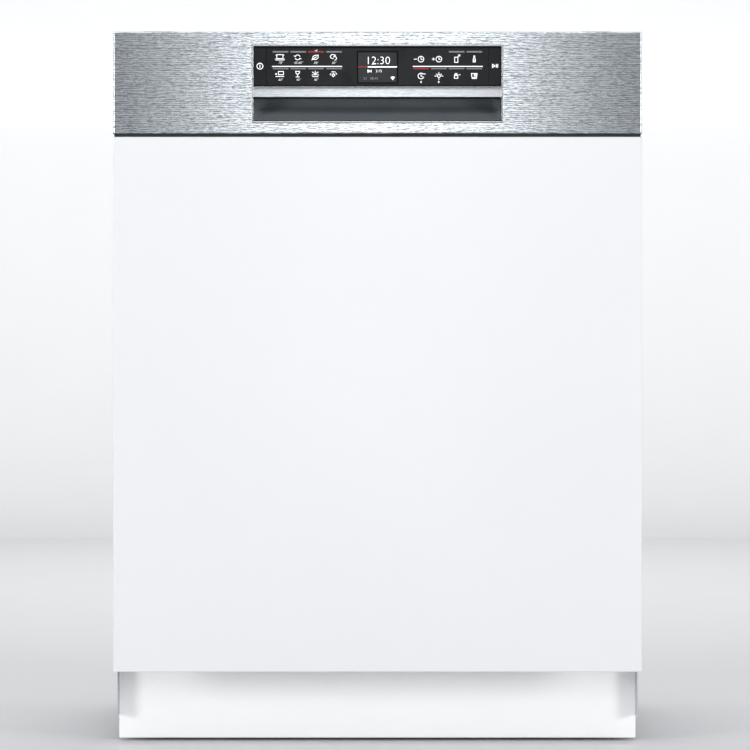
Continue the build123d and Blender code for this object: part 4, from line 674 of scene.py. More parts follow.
def add_symbol(mesh: bmesh.types.BMesh, symbol: Symbol, at: Vector, size: float, pen: float) -> None:
    """Adds a printed sign to a mesh.

    Args:
        mesh: The mesh.
        symbol: The sign.
        at: Its middle on the glass, in metres.
        size: Its size as a share of the drawn size.
        pen: The pen's width in metres.
    """
    for layer, (points, closed) in enumerate(symbol.value):
        scaled = [(x * size, z * size) for x, z in points]
        add_stroke(mesh, (scaled, closed), pen, at, 0.00006 + layer * 0.000004)


def add_digits(mesh: bmesh.types.BMesh, digits: str, at: Vector, height: float, lean: float = 0.0,
               thin: float = 0.018) -> None:
    """Adds flat digits, facing the front, to a mesh.

    Args:
        mesh: The mesh.
        digits: The digits and their signs.
        at: The middle of the line of digits, in metres.
        height: The digits' height in metres.
        lean: How far they lean, as in an italic.
        thin: How much is taken off each edge, as a share of the height.
    """
    curve = bpy.data.curves.new("digits", "FONT")
    curve.body, curve.size, curve.shear = digits, height * 1.38, lean
    curve.align_x, curve.align_y, curve.extrude, curve.resolution_u = "CENTER", "CENTER", 0.00003, 3
    curve.offset = -thin * height
    holder = bpy.data.objects.new("digits", curve)
    flat = bpy.data.meshes.new_from_object(holder)
    flat.transform(Matrix.Translation(at) @ Matrix.Rotation(math.pi / 2, 4, "X"))
    mesh.from_mesh(flat)
    bpy.data.objects.remove(holder)
    bpy.data.curves.remove(curve)
    bpy.data.meshes.remove(flat)


# ------------------------------------------------------------------ sub-assemblies
@dataclass
class SubAssembly:
    """A group of pieces, with the finish of each node that it carries over.

    Attributes:
        body: The body that its own pieces move with.
        finishes: The finish of each of its nodes.
    """

    body: str
    finishes: dict[str, Finish] = field(default_factory=dict)

    def dress(self) -> None:
        """Gives each carried-over node its finish."""
        for node, finish in self.finishes.items():
            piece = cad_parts[node]
            for slot in piece.material_slots:
                slot.material = finish.material()
            LOG.info("%s is finished in %s", node, finish.name)

    def build(self) -> None:
        """Makes the sub-assembly's own pieces, where it has some."""


@dataclass
class ControlInlay(SubAssembly):
    """The touch glass with its printed fields, the display and the two end keys.

    Places and sizes on the glass are in millimetres, across from the display's middle and up from the floor.

    Attributes:
        columns: How far each left field's middle lies from the display's, outermost first.
        right_columns: The same for the right fields, innermost first.
        upper_dash: The width, height and place up of the dashes over the upper row.
        lower_dash: The same for the dashes over the lower row.
        divider: The width, height and place up of the line between the rows.
        divider_middle: How far each divider's middle lies from the display's.
        sign_shift: How far the left fields' signs stand outside the middle of their dash.
        rows: Each row of signs: their side, their place up, their share of the drawn size and the signs.
        arrows: The place up of the two small arrows under the right fields.
        texts: Each row of temperatures with its place up.
        text_height: The temperatures' height, in metres.
        text_lean: How far they lean.
        pen: The width of the printed lines, in metres.
        mark: The small arc over the lit left field: its rise over the dash, its radius and its two angles.
        mark_pen: The width of that arc's line, in metres.
        clock: The clock's height, in metres.
        small: The small digits' height.
        progress: The ends of the progress line's first part and of its second, across.
        line_pen: The progress line's width, in metres.
        sign_pen: The width of the display's small signs.
        border_pen: The width of the window's border.
        border_inset: How far the border's middle lies inside the window's edge.
        key_signs: Each key's node, its sign, the sign's place up and its share of the drawn size.
        key_pen: The width of the keys' lines, in metres.
    """

    columns: tuple[float, ...] = (109.2, 89.2, 69.3, 48.9)
    right_columns: tuple[float, ...] = (49.0, 69.2, 89.2, 109.1)
    upper_dash: tuple[float, ...] = (17.6, 1.7, 786.9)
    lower_dash: tuple[float, ...] = (17.6, 1.3, 767.9)
    divider: tuple[float, ...] = (78.8, 1.0, 770.4)
    divider_middle: float = 79.3
    sign_shift: float = 0.8
    rows: tuple[tuple, ...] = (
        (-1, 780.6, 0.92, (Symbol.POT, Symbol.CYCLE, Symbol.LEAF, Symbol.QUICK)),
        (-1, 761.7, 0.92, (Symbol.TRAY, Symbol.GLASS, Symbol.SPRAY, Symbol.DROPS)),
        (1, 778.6, 1.0, (Symbol.LESS_TIME, Symbol.MORE_TIME, Symbol.OUTWARD, Symbol.BOTTLE)),
        (1, 759.6, 1.0, (Symbol.TIMER, Symbol.SHINE, Symbol.BASKET, Symbol.CARE)),
    )
    arrows: float = 752.9
    texts: tuple[tuple, ...] = (
        (774.4, ("70°", "45-65°", "50°", "50°")),
        (755.3, ("60°", "40°", "40°")),
    )
    text_height: float = 0.0027
    text_lean: float = 0.25
    pen: float = 0.00072
    mark: tuple[float, ...] = (1.9, 1.1, 200, 380)
    mark_pen: float = 0.0005
    clock: float = 0.0092
    small: float = 0.003
    progress: tuple[Point, Point] = ((-21.6, -11.6), (-10.5, 21.6))
    line_pen: float = 0.0011
    sign_pen: float = 0.0007
    border_pen: float = 0.0014
    border_inset: float = 0.8
    key_signs: tuple[tuple, ...] = (
        ("power_key", Symbol.POWER, 770.7, 0.9),
        ("start_key", Symbol.START, 770.6, 1.0),
    )
    key_pen: float = 0.0008

    def __post_init__(self) -> None:
        """Finds the glass and the display's window."""
        self.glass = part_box("touch_panel")
        self.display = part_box("display_window")

    def on_glass(self, x: float, z: float, lift: float = 0.00002) -> Vector:
        """Returns a place on the glass from millimetres across and up."""
        return Vector((x * MM, self.glass[0].y - lift, z * MM))

    def build(self) -> None:
        """Prints the fields, lights the display and marks the keys."""
        self.print_fields()
        self.print_signs()
        self.print_temperatures()
        self.light_display()
        self.mark_keys()

    def bar(self, mesh: bmesh.types.BMesh, x: float, size: tuple[float, ...]) -> None:
        """Adds one printed bar.

        Args:
            mesh: The mesh.
            x: Its middle across, in millimetres.
            size: Its width, height and place up, in millimetres.
        """
        width, height, z = size
        low = self.on_glass(x - width / 2, z - height / 2, 0.00008)
        high = self.on_glass(x + width / 2, z + height / 2, 0.0)
        add_box(mesh, low, high, 0.00003)

    def print_fields(self) -> None:
        """Prints the dashes, the two dividing lines and the lit fields."""
        grey, red, white = bmesh.new(), bmesh.new(), bmesh.new()
        for index, x in enumerate(self.columns):
            self.bar(red if index == 2 else grey, -x, self.upper_dash)
            self.bar(grey, -x, self.lower_dash)
        for index, x in enumerate(self.right_columns):
            if index > 1:
                self.bar(grey, x, self.upper_dash)
            self.bar(red if index == 0 else grey, x, self.lower_dash)
        rise, radius, start, end = self.mark
        mark = arc(-self.columns[2], self.upper_dash[2] + rise, radius, start, end)
        add_stroke(white, mark, self.mark_pen, self.on_glass(0, 0), 0.00008)
        for side in (-1, 1):
            self.bar(white, side * self.divider_middle, self.divider)
        for name, mesh, ink in (("field_dashes", grey, GREY_INK), ("lit_fields", red, RED_LIGHT),
                                ("dividing_lines", white, WHITE_INK)):
            add_piece(name, mesh, self.body, ink)

    def print_signs(self) -> None:
        """Prints the signs under the dashes and the two arrows under the right fields."""
        mesh = bmesh.new()
        for side, z, size, symbols in self.rows:
            places = [-x - self.sign_shift for x in self.columns] if side < 0 else self.right_columns
            for x, symbol in zip(places, symbols):
                add_symbol(mesh, symbol, self.on_glass(x, z), size, self.pen)
        for x, symbol in zip(self.right_columns, (Symbol.BACK, Symbol.ONWARD)):
            add_symbol(mesh, symbol, self.on_glass(x, self.arrows), 1.0, self.pen)
        add_piece("printed_symbols", mesh, self.body, WHITE_INK)

    def print_temperatures(self) -> None:
        """Prints the leaning temperatures under the left fields' signs."""
        digits = bmesh.new()
        for z, texts in self.texts:
            for x, text in zip(self.columns, texts):
                place = self.on_glass(-x, z, 0.00004)
                add_digits(digits, text, place, self.text_height, self.text_lean)
        add_piece("printed_temperatures", digits, self.body, WHITE_INK)

    def on_window(self, x: float, z: float) -> Vector:
        """Returns a place on the display from metres across its middle and up from the floor."""
        low, high = self.display
        return Vector(((low.x + high.x) / 2 + x, low.y - 0.00004, z))

    def light_display(self) -> None:
        """Lights the clock, the progress line, the small signs and the window's thin border."""
        low, high = self.display
        clock, dim, red, border = bmesh.new(), bmesh.new(), bmesh.new(), bmesh.new()
        add_digits(clock, "12:30", self.on_window(0.0006, 0.7767), self.clock, thin=0.03)
        for mesh, ends in zip((red, clock), self.progress):
            part = line_of(*((x, 0) for x in ends))
            add_stroke(mesh, part, self.line_pen, self.on_window(0.0, 0.7699), 0.00004)
        add_symbol(clock, Symbol.END, self.on_window(-0.0082, 0.7652), 1.0, self.sign_pen)
        add_digits(clock, "2:15", self.on_window(0.0015, 0.7652), self.small)
        add_symbol(clock, Symbol.SIGNAL, self.on_window(0.0172, 0.7569), 0.9, self.sign_pen)
        add_digits(dim, "21   08:45", self.on_window(-0.0075, 0.7568), self.small)
        width, height = ((high - low) / MM).xz
        inset = 2 * self.border_inset
        add_stroke(border, frame_of(0, 0, width - inset, height - inset), self.border_pen,
                   self.on_window(0.0, (low.z + high.z) / 2), 0.00003)
        pieces = (
            ("display_digits", clock, DISPLAY_LIGHT),
            ("display_small_digits", dim, DIM_LIGHT),
            ("display_elapsed_line", red, RED_LIGHT),
            ("display_border", border, BLACK_PRINT_AND_PAINTED_SHADE),
        )
        for name, mesh, finish in pieces:
            add_piece(name, mesh, self.body, finish)

    def mark_keys(self) -> None:
        """Prints the sign on each end key."""
        for node, symbol, z, size in self.key_signs:
            low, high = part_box(node)
            mesh = bmesh.new()
            place = Vector(((low.x + high.x) / 2, low.y - 0.00002, z * MM))
            add_symbol(mesh, symbol, place, size, self.key_pen)
            add_piece(f"{node}_symbol", mesh, node, WHITE_INK)


@dataclass
class InlayTrim(SubAssembly):
    """The bright bead round the inlay, in one with the scooped strip that the fingers pull.

    Attributes:
        bead: The bead's width, in metres.
        crown: How far the bead's crown stands proud of its edges.
        corners: The radii of the bead's inner and outer corners.
        depth: How far the bead's inner wall reaches back.
        overlap: How far the bead laps over the fascia at the sides.
        lap: The gap between the bead's rear and the fascia's face.
        below: How far the bead's inner edge lies above the trim's lowest point.
        above: How far it lies under the trim's highest point.
        set_back: How far the strip's face lies behind the bead.
        strip: The strip's lower and upper edge, as distances under the glass's lower edge.
        thick: The strip's thickness.
        scoop: How far the strip's upper edge lies behind its lip.
        curve: The power that the scoop deepens with.
        lip: The radius of the strip's lower edge.
        seal: The thickness of the black sheet on the glass, painted shade in the gap under the bead.
        seam_shade: Where the dark strip of painted shade in the seam starts and ends behind the front's face.
        seam_shade_inset: How far that strip stays inside the front's sides.
        seam_shade_gap: Its gap to the front and to the fascia.
    """

    bead: float = 0.0022
    crown: float = 0.0003
    corners: tuple[float, float] = (0.0004, 0.0022)
    depth: float = 0.0017
    overlap: float = 0.0006
    lap: float = 0.00008
    below: float = 0.0024
    above: float = 0.002
    set_back: float = 0.0006
    strip: tuple[float, float] = (0.013, 0.0009)
    thick: float = 0.0055
    scoop: float = 0.0011
    curve: float = 2.5
    lip: float = 0.0003
    seal: float = 0.00008
    seam_shade: tuple[float, float] = (0.0032, 0.009)
    seam_shade_inset: float = 0.0012
    seam_shade_gap: float = 0.0001

    def __post_init__(self) -> None:
        """Finds the bead's inner edge, which frames the glass and the recess."""
        self.low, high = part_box("grip_strip")
        self.half = high.x + self.overlap - self.bead
        self.foot = self.low.z + self.below
        self.head = high.z - self.above
        self.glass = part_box("touch_panel")[0]
        self.face = self.low.y + self.set_back

    def build(self) -> None:
        """Makes the bead with its strip, black sheets of painted shade in its gaps and a dark strip of
        painted shade in the seam over the front.
        """
        mesh = bmesh.new()
        self.add_bead(mesh)
        self.add_strip(mesh)
        piece = add_piece("bright_inlay_trim", mesh, self.body, GRIP_METAL)
        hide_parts("grip_strip")
        self.seat_painted_shade_gaps()
        self.lay_seam_shade()

    def loop(self, grow: float, radius: float) -> list[Point]:
        """Returns a rounded rectangle round the inlay.

        Args:
            grow: How far it lies outside the bead's inner edge, in metres.
            radius: The radius of its corners.

        Returns:
            Its points as (across, up), in metres.
        """
        right, low, top = self.half + grow, self.foot - grow, self.head + grow
        corners = ((-right, low, 180), (right, low, 270), (right, top, 0), (-right, top, 90))
        points = []
        for x, z, start in corners:
            middle = (x - math.copysign(radius, x), z + radius if z == low else z - radius)
            turns = [math.radians(start + 90 * i / 6) for i in range(7)]
            points += [(middle[0] + radius * math.cos(a), middle[1] + radius * math.sin(a)) for a in turns]
        return points

    def add_bead(self, mesh: bmesh.types.BMesh) -> None:
        """Adds the bead: a rounded section carried round the inlay, lapped over the fascia's edge.

        Args:
            mesh: The trim's mesh.
        """
        inner, outer = (self.loop(grow, radius) for grow, radius in zip((0.0, self.bead), self.corners))
        back, lap, steps = self.low.y + self.depth, self.low.y + self.crown + self.lap, 8
        turns = [math.pi * i / steps for i in range(steps + 1)]
        crown = [(0.5 - 0.5 * math.cos(a), self.low.y + self.crown * (1 - math.sin(a))) for a in turns]
        section = [(0.0, back), *crown, (1.0, lap), (0.5, lap), (0.5, back)]
        rows = [[mesh.verts.new((a[0] + (b[0] - a[0]) * share, y, a[1] + (b[1] - a[1]) * share))
                 for a, b in zip(inner, outer)] for share, y in section]
        skin(mesh, rows, joined=True)

    def add_strip(self, mesh: bmesh.types.BMesh) -> None:
        """Adds the strip: its face leans back towards the glass and ends in a small round lip.

        Args:
            mesh: The trim's mesh.
        """
        foot, top = (self.glass.z - under for under in self.strip)
        lean, bend = 14, 5
        section = []
        for i in range(lean + 1):
            rise = i / lean
            height = foot + self.lip + (top - foot - self.lip) * (1 - rise)
            section.append((self.face + self.scoop * (1 - rise) ** self.curve, height))
        for i in range(1, bend + 1):
            turn = math.radians(90 * i / bend)
            out, up = (self.lip * (1 - part) for part in (math.cos(turn), math.sin(turn)))
            section.append((self.face + out, foot + up))
        section += [(self.face + self.thick, foot), (self.face + self.thick, top)]
        reach = self.half + 0.0002
        ends = [[mesh.verts.new((x, y, z)) for y, z in section] for x in (-reach, reach)]
        skin(mesh, ends)
        for end in ends:
            mesh.faces.new(end)

    def seat_painted_shade_gaps(self) -> None:
        """Seats black sheets of painted shade in the gaps round the glass, under the strip's lip and round
        the recess.
        """
        mesh = bmesh.new()
        half, side, sheet, under = self.half - 0.0002, 0.0012, self.glass.y - 0.0001, self.glass.z
        front, rear = self.face + 0.0014, self.face + 0.0052
        # Each bar is a black sheet that paints the shade in a gap: over the glass, under the strip's lip and
        # at the sides.
        bars = (
            (-half, half, sheet, sheet + self.seal, self.head - 0.0022, self.head + 0.0012),
            (-half, half, sheet, sheet + 0.0009, self.foot - 0.0012, self.foot + 0.0009),
            (-half, half, front, rear, under - 0.0146, under - 0.0128),
            (-half, half, front + 0.0008, rear, under - 0.0012, under - 0.0001),
            (-half - side, -half, sheet, sheet + 0.0009, self.foot - 0.0006, self.head + 0.0006),
            (half, half + side, sheet, sheet + 0.0009, self.foot - 0.0006, self.head + 0.0006),
        )
        for x0, x1, y0, y1, z0, z1 in bars:
            add_box(mesh, Vector((x0, y0, z0)), Vector((x1, y1, z1)), 0.00002)
        add_piece("inlay_painted_shade_gaps", mesh, self.body, BLACK_PRINT_AND_PAINTED_SHADE)

    def lay_seam_shade(self) -> None:
        """Lays a dark strip between the fascia and the front: painted shade in the seam."""
        mesh = bmesh.new()
        low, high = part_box("furniture_front")
        near, far = self.seam_shade
        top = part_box("fascia_plate")[0].z - self.seam_shade_gap
        start = Vector((low.x + self.seam_shade_inset, low.y + near, high.z + self.seam_shade_gap))
        end = Vector((high.x - self.seam_shade_inset, low.y + far, top))
        add_box(mesh, start, end, 0.0008)
        add_piece("seam_painted_shade_strip", mesh, self.body, SEAM_SHADE_RUBBER)


@dataclass
class GripRecess(SubAssembly):
    """The moulded recess under the grip strip, with soft ends and a sloping floor.

    Attributes:
        left_round: The radius of its soft left end, in metres.
        right_round: The radius of its tighter right end.
        lip: How far its floor's front edge stands over the plain recess.
        slope: The floor's points, as depth from the front and height over that edge.
        mouth: The roof's two front points, as depth from the front and height under the roof.
        edge: The depth of the floor's front edge, its foot over the plain recess and its top under the floor.
        wall: The thickness left behind the back and over the roof.
        back: How high over the floor's edge the straight back starts.
        bend: The size of the corner between the back and the roof.
        tuck: The roof's end behind the strip, as depth from the front and height under the glass.
        play: How far the recess stays inside the plain one at each end.
        steps: How many steps it is lofted in.
        shallow: How much of the floor's rise is left at the ends.
        rising: Up to what height over the floor's edge that holds.
    """

    left_round: float = 0.014
    right_round: float = 0.009
    lip: float = 0.0009
    slope: tuple[Point, ...] = ((0.0022, 0.0), (0.0215, 0.0143), (0.0265, 0.0162), (0.0315, 0.0196))
    mouth: tuple[Point, ...] = ((0.0115, 0.0), (0.0085, 0.003))
    edge: tuple[float, float, float] = (0.0014, 0.0001, 0.0004)
    wall: float = 0.0024
    back: float = 0.0245
    bend: float = 0.004
    tuck: Point = (0.0082, 0.0123)
    play: float = 0.0003
    steps: int = 72
    shallow: float = 0.72
    rising: float = 0.022

    def section(self) -> list[Point]:
        """Draws the recess's section.

        Returns:
            Its points as (depth from the front, height), in metres, floor first.
        """
        low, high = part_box("grip_pocket")
        base, roof, deep = low.z + self.lip, high.z - self.wall, high.y - low.y - self.wall
        start, over, under = self.edge
        last, fall = self.tuck
        floor = [(start, low.z + over), (start, base - under)]
        floor += [(depth, base + rise) for depth, rise in self.slope]
        back = [(deep, base + self.back), (deep, roof - self.bend), (deep - self.bend, roof)]
        front = [(depth, roof - drop) for depth, drop in self.mouth]
        return [*floor, *back, *front, (last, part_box("touch_panel")[0].z - fall)]

    def build(self) -> None:
        """Makes the recess as one lofted skin, in place of its plain node."""
        low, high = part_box("grip_pocket")
        section = self.section()
        floor = section[2][1]
        mesh = bmesh.new()
        rows = []
        for i in range(self.steps + 1):
            share = 0.5 - 0.5 * math.cos(math.pi * (i / self.steps))
            x = low.x + self.play + (high.x - low.x - 2 * self.play) * share
            ends = (x - low.x) / self.left_round, (high.x - x) / self.right_round
            depth = min(self.swell(end) for end in ends)
            rise = self.shallow + (1 - self.shallow) * depth
            points = [(low.y + d * depth, floor + (z - floor) * (rise if z < floor + self.rising else 1.0))
                      for d, z in section]
            rows.append([mesh.verts.new((x, y, z)) for y, z in points])
        skin(mesh, rows, whole=False)
        piece = add_piece("soft_grip_recess", mesh, self.body, RECESS_PLASTIC)
        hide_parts("grip_pocket")

    @staticmethod
    def swell(share: float) -> float:
        """Returns how deep a rounded end is at a share of its radius."""
        return math.sqrt(max(0.0, 1 - (1 - min(1.0, share)) ** 2))


@dataclass
class ScrewRow(SubAssembly):
    """Pan-head screws with a cross recess, wherever the object shows them.

    Attributes:
        radius: The head's radius, in metres.
        height: The head's height.
    """

    radius: float = 0.0036
    height: float = 0.0015

    def fit(self, name: str, places: list[Vector], facing: Vector, slot: str = "hinge_steel") -> None:
        """Makes a row of screws.

        Args:
            name: The piece's name.
            places: Where each head sits, in metres.
            facing: The way that the heads face.
            slot: The record's material slot; not used.
        """
        heads, cross_recess_shade = bmesh.new(), bmesh.new()
        turn = facing.to_track_quat("Z", "Y").to_matrix().to_4x4()
        r, h = self.radius, self.height
        dome = [(r, 0.0), (r * 0.98, h * 0.4), (r * 0.8, h * 0.8), (r * 0.5, h), (0.0, h)]
        for index, place in enumerate(places):
            spot = Matrix.Translation(place) @ turn @ Matrix.Rotation(0.7 * index, 4, "Z")
            add_ring(heads, dome, spot, 20)
            # Each cross recess is a black cross laid in the head: painted shade in the recess.
            for size in ((0.95, 0.2), (0.2, 0.95)):
                half = Vector((r * size[0] * 0.55, r * size[1] * 0.55, h * 0.5))
                cross = bmesh.new()
                add_box(cross, Vector((-half.x, -half.y, h * 0.3)), Vector((half.x, half.y, h * 1.03)))
                cross.transform(spot)
                merge(cross_recess_shade, cross)
        add_piece(name, heads, self.body, HINGE_METAL)
        add_piece(f"{name}_recesses", cross_recess_shade, self.body, BLACK_PLASTIC)


@dataclass
class OuterBody(SubAssembly):
    """The zinc sheets, felt and braces round the tub, with their screws.

    Attributes:
        side_inset: How far the rear panel's screws stand from its sides, in metres.
        end_inset: How far its outermost screws stand from its ends.
        sink: How far their heads sink into the ribbed rear panel.
        brace_screws: Where the braces' screws stand across.
        brace_rows: How far their two rows stand from the braces' front and from their rear.
        brace_sheet: The thickness of the braces' sheet.
    """

    side_inset: float = 0.012
    end_inset: float = 0.03
    sink: float = 0.0014
    brace_screws: tuple[float, ...] = (-0.285, -0.19, 0.19, 0.285)
    brace_rows: tuple[float, float] = (0.055, 0.02)
    brace_sheet: float = 0.0011

    def build(self) -> None:
        """Screws the rear panel and the braces down."""
        low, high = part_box("rear_panel")
        screws = ScrewRow("cabinet")
        run = high.z - low.z - 2 * self.end_inset
        rear = [Vector((x, high.y - self.sink, low.z + self.end_inset + run * i / 5))
                for x in (low.x + self.side_inset, high.x - self.side_inset) for i in range(6)]
        screws.fit("rear_panel_screws", rear, Vector((0, 1, 0)))
        low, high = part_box("top_braces")
        front, rear = self.brace_rows
        top = [Vector((x, y, low.z + self.brace_sheet)) for x in self.brace_screws
               for y in (low.y + front, high.y - rear)]
        screws.fit("brace_screws", top, Vector((0, 0, 1)))


@dataclass
class DoorShell(SubAssembly):
    """The door's sheets, carrier, lock and hinge arms, with vents and screws along the top.

    Attributes:
        vent: The size of one vent, in metres.
        vents: How many vents there are.
        first_vent: Where the first one's middle stands across.
        pitch: The distance between vents.
        vent_back: How far the vents start in front of the carrier's rear.
        vent_sink: How far they sink into its top.
        screws: Where the top screws stand across.
        screw_back: How far they stand in front of the carrier's rear.
        screw_sink: How far their heads sink into its top.
    """

    vent: tuple[float, float, float] = (0.022, 0.0028, 0.00065)
    vents: int = 14
    first_vent: float = -0.195
    pitch: float = 0.03
    vent_back: float = 0.03
    vent_sink: float = 0.0006
    screws: tuple[float, ...] = (-0.27, -0.235, 0.235, 0.27)
    screw_back: float = 0.012
    screw_sink: float = 0.0002

    def build(self) -> None:
        """Lays a row of black pads along the top of the door, painted shade in its vent slots, and screws the
        carrier down.
        """
        rear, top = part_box("fascia_carrier")[1].yz
        mesh = bmesh.new()
        for i in range(self.vents):
            x = self.first_vent + self.pitch * i
            start = Vector((x - self.vent[0] / 2, rear - self.vent_back, top - self.vent_sink))
            add_box(mesh, start, start + Vector(self.vent), 0.0002)
        add_piece("door_top_vent_shade", mesh, self.body, BLACK_PLASTIC)
        spots = [Vector((x, rear - self.screw_back, top - self.screw_sink)) for x in self.screws]
        ScrewRow("door", radius=0.003, height=0.0009).fit("door_top_screws", spots, Vector((0, 0, 1)))


@dataclass
class Dispenser(SubAssembly):
    """The dispenser's window and level marks.

    Attributes:
        margin: How far the lid reaches past the detergent chamber, in metres.
        chamber_depth: How deep the chamber is behind the dispenser's face.
        window_drop: How far the window's middle lies under the dispenser's upper edge.
        window: The window's half-section, as (radius, height) points.
        marks: The width of each level mark, lowest first.
        pitch: The distance between marks.
        first_mark: Where the lowest mark starts, across from the chamber's side and up from the lid's foot.
        mark_size: How far a mark stands out, and its height.
    """

    margin: float = 0.004
    chamber_depth: float = 0.03
    window_drop: float = 0.026
    window: tuple[Point, ...] = ((0.0085, 0.0), (0.0085, 0.0006), (0.0078, 0.001), (0.0068, 0.0006),
                                 (0.0, 0.0009))
    marks: tuple[float, ...] = (0.012, 0.018, 0.024)
    pitch: float = 0.014
    first_mark: Point = (0.008, 0.018)
    mark_size: Point = (0.0005, 0.0012)

    def build(self) -> None:
        """Makes the rinse aid window and the level marks at the back of the chamber."""
        face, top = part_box("dispenser_body")[1].yz
        low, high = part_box("rinse_aid_cap")
        place = Matrix.Translation(((low.x + high.x) / 2, face - 0.0002, top - self.window_drop))
        window = bmesh.new()
        add_ring(window, list(self.window), place @ Matrix.Rotation(-math.pi / 2, 4, "X"), 40)
        add_piece("rinse_aid_window", window, self.body, BLACK_PLASTIC)
        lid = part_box("detergent_lid")[0]
        marks = bmesh.new()
        for i, width in enumerate(self.marks):
            x, z = lid.x + self.margin + self.first_mark[0], lid.z + self.first_mark[1] + self.pitch * i
            start = Vector((x, face - self.chamber_depth, z))
            add_box(marks, start, start + Vector((width, *self.mark_size)), 0.0001)
        add_piece("level_marks", marks, self.body, PALE_PLASTIC)


@dataclass
class Racks(SubAssembly):
    """Both baskets' front grips and the wheels' hubs.

    Attributes:
        grips: Each basket's node, the body that it moves with and its grip's width in metres.
        grip_section: The grip's section as (depth, height) from the basket's front rim.
        grip_steps: How many steps a grip is lofted in.
        taper: The outer share of a grip's half width in which its skirt grows shorter, and by how much.
        skirt: Under which height a point belongs to the skirt.
        hub_section: The hub's half-section, as (radius, height) points.
        rib: The two corners of one of the hub's ribs.
        ribs: How many ribs a hub has.
    """

    grips: tuple[tuple, ...] = (
        ("lower_rack_basket", "lower_rack", 0.17),
        ("upper_rack_basket", "upper_rack", 0.15),
    )
    grip_section: tuple[Point, ...] = (
        (0.0068, -0.034), (-0.0018, -0.03), (-0.0026, -0.006), (-0.0018, 0.0012), (0.0025, 0.0032),
        (0.0068, 0.0012), (0.0068, -0.004), (0.0056, -0.004), (0.0056, 0.0), (0.0025, 0.0018),
        (-0.0004, 0.0), (-0.0008, -0.006), (-0.0004, -0.0285), (0.0068, -0.0322),
    )
    grip_steps: int = 24
    taper: float = 0.3
    skirt: float = -0.005
    hub_section: tuple[Point, ...] = ((0.0044, -0.0018), (0.0062, -0.0018), (0.0062, -0.0004), (0.0058, 0.0),
                                      (0.0048, 0.0), (0.0044, -0.0004))
    rib: tuple[tuple, ...] = ((-0.0009, 0.0058, -0.0018), (0.0009, 0.0126, -0.0002))
    ribs: int = 5

    def build(self) -> None:
        """Makes the grips and the hubs."""
        for node, body, width in self.grips:
            self.fit_grip(node, body, width)
        for name, side in (("left", -1), ("right", 1)):
            for end in ("front", "rear"):
                self.fit_hub(f"{end}_{name}_wheel", side)

    def fit_grip(self, node: str, body: str, width: float) -> None:
        """Clips a moulded grip over a basket's front rim.

        Args:
            node: The basket's node.
            body: The body that it moves with.
            width: The grip's width, in metres.
        """
        front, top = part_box(node)[0].y + 0.0001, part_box(node)[1].z
        mesh = bmesh.new()
        rows = []
        for i in range(self.grip_steps + 1):
            share = -1 + i / (self.grip_steps / 2)
            outer = max(0.0, abs(share) - (1 - self.taper))
            x, tuck = width / 2 * share, 1 - self.taper * outer / self.taper
            rows.append([mesh.verts.new((x, front + y, top + z * (tuck if z < self.skirt else 1.0)))
                         for y, z in self.grip_section])
        skin(mesh, rows)
        for row in (rows[0], rows[-1]):
            mesh.faces.new(row)
        bmesh.ops.triangulate(mesh, faces=[f for f in mesh.faces if len(f.verts) > 4])
        add_piece(f"{body}_grip", mesh, body, RACK_PLASTIC)

    def fit_hub(self, node: str, side: int) -> None:
        """Puts a ribbed hub in a wheel's dished face.

        Args:
            node: The wheel's node, which is also its body.
            side: 1 on the right, -1 on the left.
        """
        low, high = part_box(node)
        centre = (low + high) / 2
        mesh = bmesh.new()
        for i in range(self.ribs):
            rib = bmesh.new()
            add_box(rib, Vector(self.rib[0]), Vector(self.rib[1]), 0.0003)
            rib.transform(Matrix.Rotation(2 * math.pi * i / self.ribs, 4, "Z"))
            merge(mesh, rib)
        add_ring(mesh, list(self.hub_section), Matrix.Identity(4), 28)
        way = Vector((side, 0, 0)).to_track_quat("Z", "Y").to_matrix().to_4x4()
        mesh.transform(Matrix.Translation((high.x if side > 0 else low.x, centre.y, centre.z)) @ way)
        add_piece(f"{node}_hub", mesh, node, RACK_PLASTIC)


@dataclass
class SprayArms(SubAssembly):
    """The caps and jets of the two spray arms.

    Attributes:
        cap: The lower arm's cap, as a half-section of (radius, height) points.
        jet: One jet's half-section.
        shares: How far out each jet stands, as a share of the arm's reach.
        stagger: How far the jets stand off the arm's middle line, in metres.
    """

    cap: tuple[Point, ...] = ((0.021, -0.0005), (0.0205, 0.0002), (0.018, 0.0003), (0.0, 0.0003))
    jet: tuple[Point, ...] = ((0.0034, 0.0), (0.0032, 0.0005), (0.0017, 0.0005), (0.0014, -0.0005),
                              (0.0, -0.0006))
    shares: tuple[float, ...] = (0.24, 0.4, 0.59, 0.76, 0.9)
    stagger: float = 0.005

    def build(self) -> None:
        """Makes each arm's cap and its raised jets."""
        for node in ("lower_spray_arm", "upper_spray_arm"):
            low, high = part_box(node)
            middle, reach = (low.y + high.y) / 2, (high.x - low.x) / 2
            mesh = bmesh.new()
            if node == "lower_spray_arm":
                add_ring(mesh, list(self.cap), Matrix.Translation((0, middle, high.z)), 48)
            for share in self.shares:
                for side in (-1, 1):
                    spot = (side * share * reach, middle - side * self.stagger, high.z - 0.0003)
                    add_ring(mesh, list(self.jet), Matrix.Translation(spot), 24)
            add_piece(f"{node}_jets", mesh, node, BASE_PLASTIC)


# ------------------------------------------------------------------ stage
@dataclass(frozen=True)
class Panel:
    """A soft light.

    Attributes:
        name: What the light is called.
        place: Where it hangs, in metres.
        target: Where it points.
        size: Its width and height.
        power: Its power, in watts.
    """

    name: str
    place: tuple[float, float, float]
    target: tuple[float, float, float]
    size: tuple[float, float]
    power: float

    def hang(self) -> None:
        """Hangs the light, hidden from the camera."""
        light = bpy.data.lights.new(self.name, "AREA")
        light.shape = "RECTANGLE"
        light.size, light.size_y = self.size
        light.energy = self.power
        holder = bpy.data.objects.new(self.name, light)
        holder.location = self.place
        holder.visible_camera = False
        aim = Vector(self.target) - Vector(self.place)
        holder.rotation_euler = aim.to_track_quat("-Z", "Y").to_euler()
        bpy.context.scene.collection.objects.link(holder)


